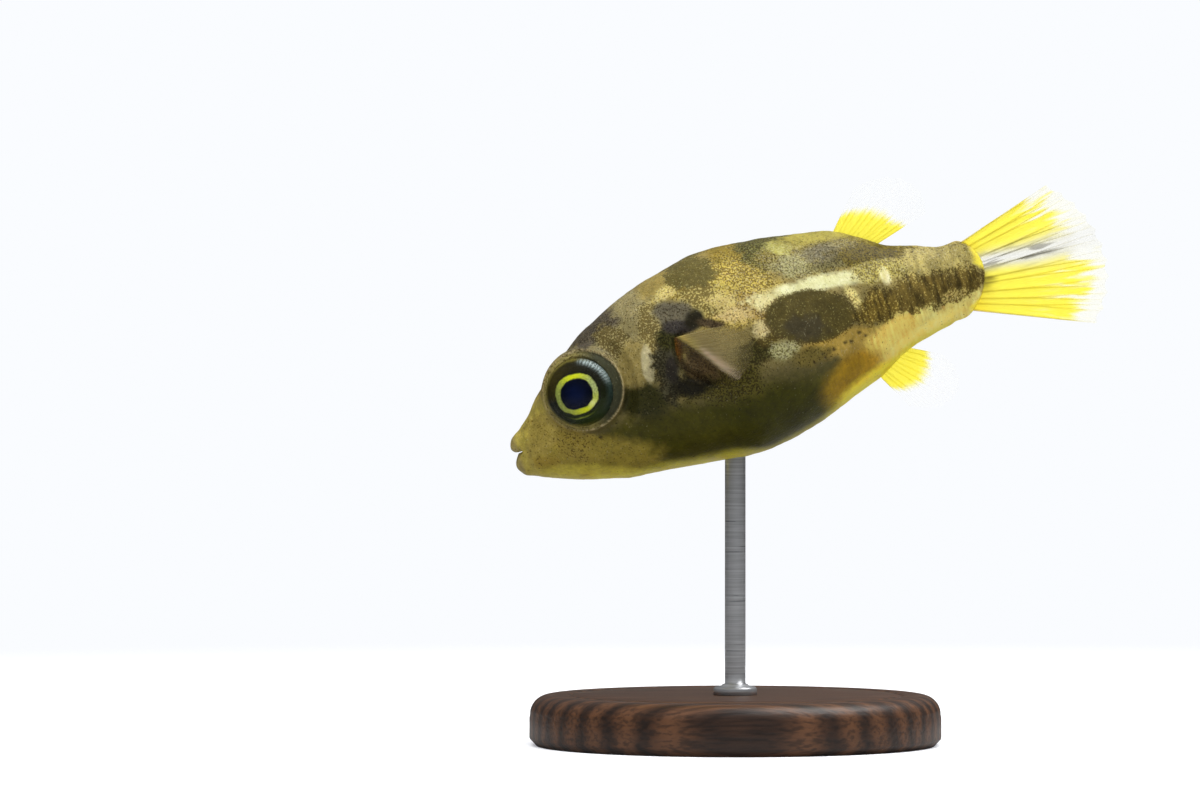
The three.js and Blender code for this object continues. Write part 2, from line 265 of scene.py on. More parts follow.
def turned_object(name, profile, steps, place, material):
    """A closed solid turned from a profile of (radius, height), which starts and ends on the axis."""
    angle = np.arange(steps) * 2 * math.pi / steps
    points = [np.array([[0, 0, profile[0][1]]])]
    for radius, height in profile[1:-1]:
        points.append(np.stack([radius * np.cos(angle), radius * np.sin(angle),
                                np.full(steps, float(height))], 1))
    points.append(np.array([[0, 0, profile[-1][1]]]))
    flat = np.concatenate(points)
    top = len(flat) - 1
    faces = [tuple(i + 1 for i in face) for face in grid_faces(len(profile) - 2, steps, True)]
    for c in range(steps):
        d = (c + 1) % steps
        faces += [(0, 1 + d, 1 + c), (top, top - steps + c, top - steps + d)]
    return mesh_object(name, place(flat), faces, material), flat


# ---- Materials ----

def add(tree, kind, inputs=None, stops=(), **settings):
    """Adds a node, with its settings, its inputs as plain values or as the nodes or sockets that they
    are linked to, and a ramp's stops as places and colours."""
    made = tree.nodes.new(kind)
    for name, value in settings.items():
        setattr(made, name, value)
    for name, value in (inputs or {}).items():
        shown = [s for s in made.inputs if s.enabled and s.name == name]
        socket = shown[0] if shown else made.inputs[name]
        if isinstance(value, bpy.types.Node):
            value = next(s for s in value.outputs if s.enabled)
        if isinstance(value, bpy.types.NodeSocket):
            tree.links.new(value, socket)
        else:
            socket.default_value = value
    for i, (place, colour) in enumerate(stops):
        points = made.color_ramp.elements
        point = points[i] if i < len(points) else points.new(place)
        point.position = place
        point.color = linear(colour)
    return made


def new_material(name):
    """An empty material and its node tree."""
    made = bpy.data.materials.new(name)
    made.use_nodes = True
    made.node_tree.nodes.clear()
    return made, made.node_tree


def surfaced(material, shader):
    """The material with a shader on its surface."""
    add(material.node_tree, "ShaderNodeOutputMaterial", {"Surface": shader})
    return material


def millimetres(tree, stretch=(1, 1, 1)):
    """Object coordinates in millimetres, turned along the fish and stretched by an amount per axis."""
    place = add(tree, "ShaderNodeTexCoord").outputs["Object"]
    along = add(tree, "ShaderNodeMapping", {"Vector": place, "Rotation": (0, NOSE_DOWN, 0)})
    return add(tree, "ShaderNodeMapping", {"Vector": along, "Scale": tuple(s / MM for s in stretch)})


def stored(tree):
    """The colour and the three marks that store() left on a mesh."""
    coat, marks = (add(tree, "ShaderNodeAttribute", attribute_name=name) for name in ("coat", "marks"))
    return coat, add(tree, "ShaderNodeSeparateColor", {"Color": marks}).outputs


def overlaid(tree, colour, share, pattern, *stops):
    """A colour made darker and paler by a pattern, through a ramp of greys."""
    greys = add(tree, "ShaderNodeValToRGB", {"Fac": pattern}, stops)
    return add(tree, "ShaderNodeMix", {"Factor": share, "A": colour, "B": greys},
               data_type="RGBA", blend_type="OVERLAY")


def over_clear(tree, dyed, tint, cover, body):
    """A cloudy body over clear dyed resin. Light crosses the front and the back of a piece, so each
    gives half of the dye."""
    dye = add(tree, "ShaderNodeMix", {"Factor": dyed, "A": linear("#ffffff"), "B": tint},
              data_type="RGBA")
    half = add(tree, "ShaderNodeGamma", {"Color": dye, "Gamma": 0.5})
    clear = add(tree, "ShaderNodeBsdfTransparent", {"Color": half})
    return add(tree, "ShaderNodeMixShader", {0: cover, 1: clear, 2: body})


def puffer_skin():
    """Wet pufferfish skin, cast and painted: thin clear mucus over scaleless leathery skin, so soft
    clear highlights sit on grains of dark pigment, dense in the blotches and sparse on the gold
    between them."""
    material, tree = new_material("wet_puffer_skin")
    coat, split = stored(tree)
    place = millimetres(tree)

    # Cloudy pigment, in patches of 0.8 mm and of 0.25 mm.
    cloud = add(tree, "ShaderNodeTexNoise", {"Vector": place, "Scale": 1.2, "Detail": 3.0})
    mottle = add(tree, "ShaderNodeTexNoise", {"Vector": place, "Scale": 4.0, "Detail": 4.0,
                                              "Roughness": 0.65, "Distortion": 0.6})
    colour = overlaid(tree, coat, 0.6, cloud, (0.3, "#a0a0a0"), (0.7, "#d0d0d0"))
    colour = overlaid(tree, colour, 0.6, mottle, (0.3, "#959595"), (0.72, "#d8d8d8"))

    # Stripes across the muscle blocks of the tail stalk, about 0.2 mm wide.
    blocks = add(tree, "ShaderNodeTexNoise", {"Vector": millimetres(tree, (4.5, 1, 0.7)), "Scale": 1.0,
                                              "Detail": 3.0, "Roughness": 0.7})
    striped = overlaid(tree, colour, 0.9, blocks, (0.36, "#606060"), (0.64, "#f0f0f0"))
    colour = add(tree, "ShaderNodeMix", {"Factor": split["Green"], "A": colour, "B": striped},
                 data_type="RGBA")

    # Grains of dark pigment about 0.05 mm across. They stand alone where the marks are thin and run
    # together where they are thick.
    grain = add(tree, "ShaderNodeTexNoise", {"Vector": place, "Scale": GRAIN_PER_MM, "Detail": 1.0,
                                             "Roughness": 0.4, "Distortion": 0.3})
    thick = add(tree, "ShaderNodeMath", {0: split["Red"], 1: 0.5, 2: grain}, operation="MULTIPLY_ADD")
    ink = add(tree, "ShaderNodeMapRange", {"Value": thick, "From Min": 0.68, "From Max": 0.8,
                                           "To Max": 0.85})
    colour = add(tree, "ShaderNodeMix", {"Factor": ink, "A": colour, "B": linear("#857a5e")},
                 data_type="RGBA", blend_type="MULTIPLY")

    # Pale guanine grains between the dark ones, about as fine.
    bright = add(tree, "ShaderNodeTexNoise", {"Vector": millimetres(tree, (1.1, 1, 0.9)), "Scale": 12.0,
                                              "Detail": 1.0})
    pale = add(tree, "ShaderNodeMath", {0: split["Blue"], 1: 0.5, 2: bright}, operation="MULTIPLY_ADD")
    glow = add(tree, "ShaderNodeMapRange", {"Value": pale, "From Min": 0.69, "From Max": 0.86,
                                            "To Max": 0.35})
    colour = add(tree, "ShaderNodeMix", {"Factor": glow, "A": colour, "B": linear("#9d987c")},
                 data_type="RGBA", blend_type="SCREEN")

    # Leathery grain: wrinkles 0.15 to 0.25 mm apart with pores of 0.1 mm between them.
    wrinkles = add(tree, "ShaderNodeTexNoise", {"Vector": millimetres(tree, (1.3, 1, 0.8)), "Scale": 5.0,
                                                "Detail": 4.0, "Distortion": 0.8})
    pores = add(tree, "ShaderNodeTexVoronoi", {"Vector": place, "Scale": 9.0})
    relief = add(tree, "ShaderNodeMath", {0: pores, 1: 0.35, 2: wrinkles}, operation="MULTIPLY_ADD")
    bump = add(tree, "ShaderNodeBump", {"Height": relief, "Strength": 0.6, "Distance": 0.05 * MM})
    wet = add(tree, "ShaderNodeMapRange", {"Value": mottle, "From Min": 0.3, "From Max": 0.7,
                                           "To Min": 0.42, "To Max": 0.58})
    return surfaced(material, add(tree, "ShaderNodeBsdfPrincipled", {
        "Base Color": colour, "Roughness": wet, "IOR": 1.36, "Specular IOR Level": 0.22, "Normal": bump,
        "Subsurface Weight": 0.12, "Subsurface Radius": (1.0, 0.6, 0.25), "Subsurface Scale": 0.25 * MM,
        "Coat Weight": 0.08, "Coat Roughness": 0.16, "Coat IOR": 1.33}))


def fin_web(name):
    """Fin membrane, cast in clear tinted resin: light shines through it, the dye is deepest towards
    the root and the rim is almost clear, with a soft wet gloss."""
    material, tree = new_material(name)
    tint, split = stored(tree)
    place = add(tree, "ShaderNodeAttribute", attribute_name="fin_place").outputs["Vector"]
    # Fine fibres run along the rays, 18 between two rays and about 0.02 mm apart, and cloud the web.
    fibres = add(tree, "ShaderNodeMapping", {"Vector": place, "Scale": (9.0, 0.9, 1.0)})
    streak = add(tree, "ShaderNodeTexNoise", {"Vector": fibres, "Scale": 2.0, "Detail": 3.0})
    cloud = add(tree, "ShaderNodeTexNoise", {"Vector": millimetres(tree), "Scale": 1.6, "Detail": 2.0})
    colour = overlaid(tree, tint, 0.35, streak, (0.3, "#a8a8a8"), (0.7, "#d8d8d8"))
    colour = overlaid(tree, colour, 0.35, cloud, (0.3, "#b0b0b0"), (0.7, "#d0d0d0"))
    bump = add(tree, "ShaderNodeBump", {"Height": streak, "Strength": 0.4, "Distance": 0.02 * MM})
    film = add(tree, "ShaderNodeBsdfPrincipled", {"Base Color": colour, "Roughness": 0.3, "IOR": 1.4,
                                                  "Normal": bump})
    through = add(tree, "ShaderNodeBsdfTranslucent", {"Color": colour, "Normal": bump})
    body = add(tree, "ShaderNodeMixShader", {0: 0.55, 1: film, 2: through})
    wave = add(tree, "ShaderNodeMath", {0: streak, 1: 0.3, 2: -0.15}, operation="MULTIPLY_ADD")
    cover = add(tree, "ShaderNodeMath", {0: split["Red"], 1: wave}, operation="ADD", use_clamp=True)
    return surfaced(material, over_clear(tree, split["Green"], tint, cover, body))


def fin_ray():
    """Fin rays, cast in tinted resin: jointed bony rods, a little cloudier and deeper than the web,
    with a joint every 0.25 mm."""
    material, tree = new_material("jointed_fin_ray")
    tint, split = stored(tree)
    place = add(tree, "ShaderNodeAttribute", attribute_name="fin_place").outputs["Vector"]
    joints = add(tree, "ShaderNodeTexWave", {"Vector": place, "Scale": 1.25, "Distortion": 0.4},
                 bands_direction="Y")
    colour = overlaid(tree, tint, 0.3, joints, (0.0, "#8a8a8a"), (0.35, "#c4c4c4"))
    bump = add(tree, "ShaderNodeBump", {"Height": joints, "Strength": 0.5, "Distance": 0.02 * MM})
    rod = add(tree, "ShaderNodeBsdfPrincipled", {"Base Color": colour, "Roughness": 0.32, "IOR": 1.45,
                                                 "Normal": bump})
    through = add(tree, "ShaderNodeBsdfTranslucent", {"Color": colour})
    body = add(tree, "ShaderNodeMixShader", {0: 0.4, 1: rod, 2: through})
    return surfaced(material, over_clear(tree, split["Green"], tint, split["Red"], body))


def iris_paint():
    """Iris and pupil, painted on the back of a glass eye: satin paint with fine rings and a
    silver-leaf arc under the clear front, whose pale paint is also a painted sheen."""
    material, tree = new_material("painted_iris")
    paint, split = stored(tree)
    place = add(tree, "ShaderNodeAttribute", attribute_name="eye_place").outputs["Vector"]
    # Rings about 0.07 mm apart and grains of 0.07 mm, both kept off the pupil.
    reach = add(tree, "ShaderNodeVectorMath", {0: place}, operation="LENGTH")
    bend = add(tree, "ShaderNodeTexNoise", {"Vector": place, "Scale": 2.2, "Detail": 2.0})
    ring = add(tree, "ShaderNodeMath", {0: bend, 1: 0.25, 2: reach}, operation="MULTIPLY_ADD")
    turns = add(tree, "ShaderNodeMath", {0: ring, 1: 95.0}, operation="MULTIPLY")
    waves = add(tree, "ShaderNodeMath", {0: turns}, operation="SINE")
    rings = add(tree, "ShaderNodeMath", {0: waves, 1: 0.5, 2: 0.5}, operation="MULTIPLY_ADD")
    grain = add(tree, "ShaderNodeTexNoise", {"Vector": place, "Scale": 14.0, "Detail": 3.0})
    colour = overlaid(tree, paint, 0.25, rings, (0.0, "#9c9c9c"), (1.0, "#d2d2d2"))
    colour = overlaid(tree, colour, 0.6, grain, (0.35, "#909090"), (0.65, "#dadada"))
    colour = add(tree, "ShaderNodeMix", {"Factor": split["Blue"], "A": colour, "B": paint},
                 data_type="RGBA")
    height = add(tree, "ShaderNodeMath", {0: rings, 1: 0.5, 2: grain}, operation="MULTIPLY_ADD")
    bump = add(tree, "ShaderNodeBump", {"Height": height, "Strength": 0.5, "Distance": 0.015 * MM})
    leaf = add(tree, "ShaderNodeMath", {0: split["Red"], 1: 0.25}, operation="MULTIPLY")
    return surfaced(material, add(tree, "ShaderNodeBsdfPrincipled", {
        "Base Color": colour, "Metallic": leaf, "Roughness": 0.5, "Normal": bump,
        "Specular IOR Level": 0.06}))


def cornea_glass():
    """The clear front of a glass eye, fire-polished: invisible but for soft wet highlights."""
    material, tree = new_material("polished_glass_eye")
    # Glass bends light by 1.5. This is less, so that its edge doesn't ring the eye with white.
    rim = add(tree, "ShaderNodeFresnel", {"IOR": 1.16})
    # Polishing leaves faint swells about 0.5 mm long.
    swell = add(tree, "ShaderNodeTexNoise", {"Vector": millimetres(tree), "Scale": 2.0})
    bump = add(tree, "ShaderNodeBump", {"Height": swell, "Strength": 0.1, "Distance": 0.02 * MM})
    gloss = add(tree, "ShaderNodeBsdfGlossy", {"Roughness": 0.08, "Normal": bump})
    clear = add(tree, "ShaderNodeBsdfTransparent")
    return surfaced(material, add(tree, "ShaderNodeMixShader", {0: rim, 1: clear, 2: gloss}))


def walnut():
    """Walnut, turned and oiled: dark brown with straight grain, open pores and a satin sheen."""
    material, tree = new_material("oiled_walnut")
    place = add(tree, "ShaderNodeTexCoord").outputs["Object"]
    # Growth rings about 1 mm apart, drawn out along the plank, and pores 0.15 mm wide.
    plank = add(tree, "ShaderNodeMapping", {"Vector": place, "Scale": (60.0, 700.0, 700.0)})
    rings = add(tree, "ShaderNodeTexWave", {"Vector": plank, "Scale": 0.45, "Distortion": 3.5,
                                            "Detail": 3.0, "Detail Scale": 1.5}, bands_direction="Y")
    long = add(tree, "ShaderNodeMapping", {"Vector": place, "Scale": (500.0, 6500.0, 6500.0)})
    pores = add(tree, "ShaderNodeTexNoise", {"Vector": long, "Scale": 1.0, "Detail": 4.0})
    wood_tones = ((0.0, "#2b1a10"), (0.5, "#4a2f1d"), (1.0, "#5e3d26"))
    tone = add(tree, "ShaderNodeValToRGB", {"Fac": rings}, wood_tones)
    colour = overlaid(tree, tone, 0.8, pores, (0.38, "#767676"), (0.55, "#c4c4c4"))
    bump = add(tree, "ShaderNodeBump", {"Height": pores, "Strength": 0.35, "Distance": 0.06 * MM})
    return surfaced(material, add(tree, "ShaderNodeBsdfPrincipled", {
        "Base Color": colour, "Roughness": 0.42, "IOR": 1.5, "Normal": bump}))


def brushed_steel():
    """Stainless steel, drawn and brushed round: a cool grey with fine bright rings."""
    material, tree = new_material("brushed_stainless_steel")
    place = add(tree, "ShaderNodeTexCoord").outputs["Object"]
    # Brush lines 0.08 mm apart round the rod.
    lines = add(tree, "ShaderNodeMapping", {"Vector": place, "Scale": (300.0, 300.0, 12000.0)})
    brush = add(tree, "ShaderNodeTexNoise", {"Vector": lines, "Scale": 1.0, "Detail": 3.0})
    colour = add(tree, "ShaderNodeValToRGB", {"Fac": brush}, ((0.3, "#9b9da0"), (0.7, "#c9cbce")))
    shine = add(tree, "ShaderNodeMapRange", {"Value": brush, "To Min": 0.2, "To Max": 0.42})
    bump = add(tree, "ShaderNodeBump", {"Height": brush, "Strength": 0.25, "Distance": 0.02 * MM})
    # Steel is all metal. This is less, so that the thin rod stays an even grey in the pale studio.
    return surfaced(material, add(tree, "ShaderNodeBsdfPrincipled", {
        "Base Color": colour, "Metallic": 0.7, "Roughness": shine, "Normal": bump}))


# ---- The body's skin ----

def station(key, x):
    """A smooth curve through one column of the stations, at x."""
    at, value = STATIONS[:, 0], STATIONS[:, STATION_KEYS.index(key)]
    slope = np.gradient(value, at)
    slope[1:-1] = (value[2:] - value[:-2]) / (at[2:] - at[:-2])
    after = np.clip(np.searchsorted(at, x, side="right"), 1, len(at) - 1)
    span = at[after] - at[after - 1]
    t = np.clip((x - at[after - 1]) / span, 0, 1)
    rise = 3 * t ** 2 - 2 * t ** 3
    return (value[after - 1] * (1 - rise) + value[after] * rise
            + span * ((t ** 3 - 2 * t ** 2 + t) * slope[after - 1] + (t ** 3 - t ** 2) * slope[after]))


def whole_ring(half):
    """A ring from its left half, which runs from the back to the belly."""
    right = half[-2:0:-1] * (1, -1, 1)
    return np.concatenate([half, right])


def body_ring(x, share=1.0):
    """A ring of the body at x, its points evenly spaced but closer together beside the eye."""
    angle = np.linspace(0, math.pi, 700)
    upper = np.cos(angle) >= 0
    exponent = 2 / np.where(upper, station("square", x), station("keel", x))
    back, belly, waist = (station(key, x) for key in ("back", "belly", "waist"))
    height = np.where(upper, back - waist, waist - belly)
    y = -np.sin(angle).clip(0) ** exponent * station("side", x)
    z = waist + power(np.cos(angle), exponent) * height
    near_eye = 1 + 0.9 * bell(x, 4.5, 3.5) * bell(z, 1.1, 1.7)
    step = np.hypot(np.diff(y), np.diff(z)) * (near_eye[1:] + near_eye[:-1]) / 2
    run = np.concatenate([[0], np.cumsum(step)])
    even = np.linspace(0, run[-1], SKIN_HALF + 1)
    middle = (back + belly) / 2
    y = np.interp(even, run, y) * share
    z = middle + (np.interp(even, run, z) - middle) * share
    return whole_ring(np.stack([np.full(SKIN_HALF + 1, float(x)), y, z], 1))


def lip_ring(half_width, top, bottom, x_top, x_corner, x_bottom):
    """A ring of the lips, which reaches forward at its top and bottom."""
    angle = np.linspace(0, math.pi, SKIN_HALF + 1)
    lift = np.cos(angle)
    y = -np.sin(angle).clip(0) ** 0.85 * half_width
    z = MOUTH_LEVEL + np.where(lift > 0, (top - MOUTH_LEVEL) * lift, (bottom - MOUTH_LEVEL) * -lift)
    forward = np.abs(lift) ** 1.4
    x = x_corner + np.where(lift > 0, x_top - x_corner, x_bottom - x_corner) * forward
    return whole_ring(np.stack([x, y, z], 1))


def smooth_rows(rings, steps):
    """Rows on a smooth curve through the rings, with steps rows from each ring to the next."""
    rows = []
    for i in range(1, len(rings) - 2):
        a, b, c, d = rings[i - 1:i + 3]
        for t in np.arange(steps) / steps:
            rows.append(0.5 * (2 * b + (c - a) * t + (2 * a - 5 * b + 4 * c - d) * t ** 2
                               + (3 * b - a - 3 * c + d) * t ** 3))
    return rows


def skin_rows():
    """All rows of the skin, from the throat inside the mouth out over the lips and back to the tail."""
    snout = [body_ring(SNOUT_START), body_ring(SNOUT_START + 0.2)]
    lips = [lip_ring(*ring) for ring in LIP_RINGS]
    rows = smooth_rows([lips[0]] + lips + snout, LIP_STEPS)
    head = np.arange(SNOUT_START, HEAD_END, HEAD_STEP)
    trunk = np.arange(head[-1] + HEAD_STEP, STATIONS[-1, 0], TRUNK_STEP)
    rows += [body_ring(x) for x in np.concatenate([head, trunk])]
    last = STATIONS[-1, 0]
    for a in np.arange(TAIL_CAP_ROWS) / TAIL_CAP_ROWS * math.pi / 2:
        ring = body_ring(last)
        ring[:, 0] += (TAIL_END - last) * math.sin(a)
        ring[:, 1] *= math.cos(a) ** 0.8
        ring[:, 2] = TAIL_CAP_MIDDLE + (ring[:, 2] - TAIL_CAP_MIDDLE) * math.cos(a) ** 0.35
        rows.append(ring)
    rows = np.array(rows)
    # The end is an arc, bowed back in its middle.
    off = (rows[..., 2] - TAIL_BOW_MIDDLE) / TAIL_BOW_HALF
    bow = smooth(TAIL_BOW_START, last, rows[..., 0]) * off ** 2
    rows[..., 0] -= TAIL_BOW * bow
    return rows


def eye_frame(side):
    """The middle of an eye's rim, the way it looks out and the way to its rear."""
    middle = EYE_AT * (1, side, 1)
    out = np.array([-math.sin(EYE_FORWARD), side * math.cos(EYE_FORWARD), 0])
    rear = np.array([math.cos(EYE_FORWARD), side * math.sin(EYE_FORWARD), 0])
    return middle, out, rear


def eye_reach(points, side):
    """How far points lie from an eye's axis, and how high over its rim."""
    middle, out, rear = eye_frame(side)
    away = points - middle
    across = np.stack([away @ rear, away[:, 2]], 1)
    drift = smooth(EYE_RADIUS - 0.08, EYE_RADIUS + 0.37, np.hypot(*across.T))
    return np.hypot(*(across - RIM_SHIFT * drift[:, None]).T), away @ out


def sink_eyes(points):
    """Moves the skin round each eye out or in to the socket, along rays from the head's middle."""
    spots, heights = np.array(SOCKET).T
    for side in (-1, 1):
        near, _ = eye_reach(points, side)
        chosen = np.flatnonzero((near < SOCKET_ZONE) & (points[:, 1] * side > 0.15))
        centre = points[chosen] * (1, 0, 0) + (0, 0, HEAD_MIDDLE)
        way = points[chosen] - centre
        length = np.linalg.norm(way, axis=1, keepdims=True)
        way /= length
        low, high = (np.full((len(chosen), 1), reach) for reach in SEARCH)
        for _ in range(SEARCH_STEPS):
            middle = (low + high) / 2
            radius, height = eye_reach(centre + way * middle, side)
            inside = (height < np.interp(radius, spots, heights))[:, None]
            low = np.where(inside, middle, low)
            high = np.where(inside, high, middle)
        radius, _ = eye_reach(centre + way * low, side)
        hold = 1 - smooth(*SOCKET_HOLD, radius)[:, None]
        points[chosen] = centre + way * (length + (low - length) * hold)
    return points


def open_gills(points):
    """Presses a crescent slit into each flank in front of the pectoral fin."""
    x, y, z = points.T
    away_x, away_z = x - GILL_MIDDLE[0], z - GILL_MIDDLE[1]
    turn = np.abs(np.arctan2(away_z, -away_x))
    ends = 1 - smooth(GILL_SWEEP * 0.7, GILL_SWEEP * 1.15, turn)
    off = np.hypot(away_x, away_z) - GILL_RADIUS
    slit = bell(off, 0, GILL_WIDTH) * GILL_DEPTH
    flap = bell(off, 0.38, 0.3) * GILL_FLAP
    points[:, 1] -= np.sign(y) * (slit - flap) * ends * (np.abs(y) > 1)
    return points


def raise_nostrils(points):
    """Raises a small cratered papilla on each side of the snout's top."""
    x, y, z = points.T
    for side in (-1, 1):
        off = np.hypot(np.hypot(x - NOSTRIL_AT[0], z - NOSTRIL_AT[1]), (y - side * NOSTRIL_OUT) * 0.8)
        rise = (bell(off, 0, NOSTRIL_RADIUS) - bell(off, 0, 0.4 * NOSTRIL_RADIUS)) * NOSTRIL_HEIGHT
        points[:, 1] += side * rise * 0.6
        points[:, 2] += rise * 0.8
    return points


def grid_normals(rows):
    """Outward directions of a closed grid of points."""
    along = np.gradient(rows, axis=0)
    around = np.roll(rows, -1, axis=1) - np.roll(rows, 1, axis=1)
    normal = np.cross(along, around)
    return normal / np.linalg.norm(normal, axis=2, keepdims=True).clip(1e-9)


def soften(points, rows_shape):
    """Gives the skin shallow folds and hollows."""
    rows = points.reshape(rows_shape)
    normal = grid_normals(rows).reshape(-1, 3)
    clear_of_eyes = smooth(1.9, 2.6, np.minimum(eye_reach(points, -1)[0], eye_reach(points, 1)[0]))
    calm = smooth(0.5, 1.6, points[:, 0]) * (1 - smooth(20.5, 21.7, points[:, 0])) * clear_of_eyes
    lumps = rough(points, 1.6) * 0.045 + rough(points * (1.6, 1, 1), 0.5) * 0.012
    return points + normal * (lumps * calm)[:, None]


# ---- The pattern on the skin ----

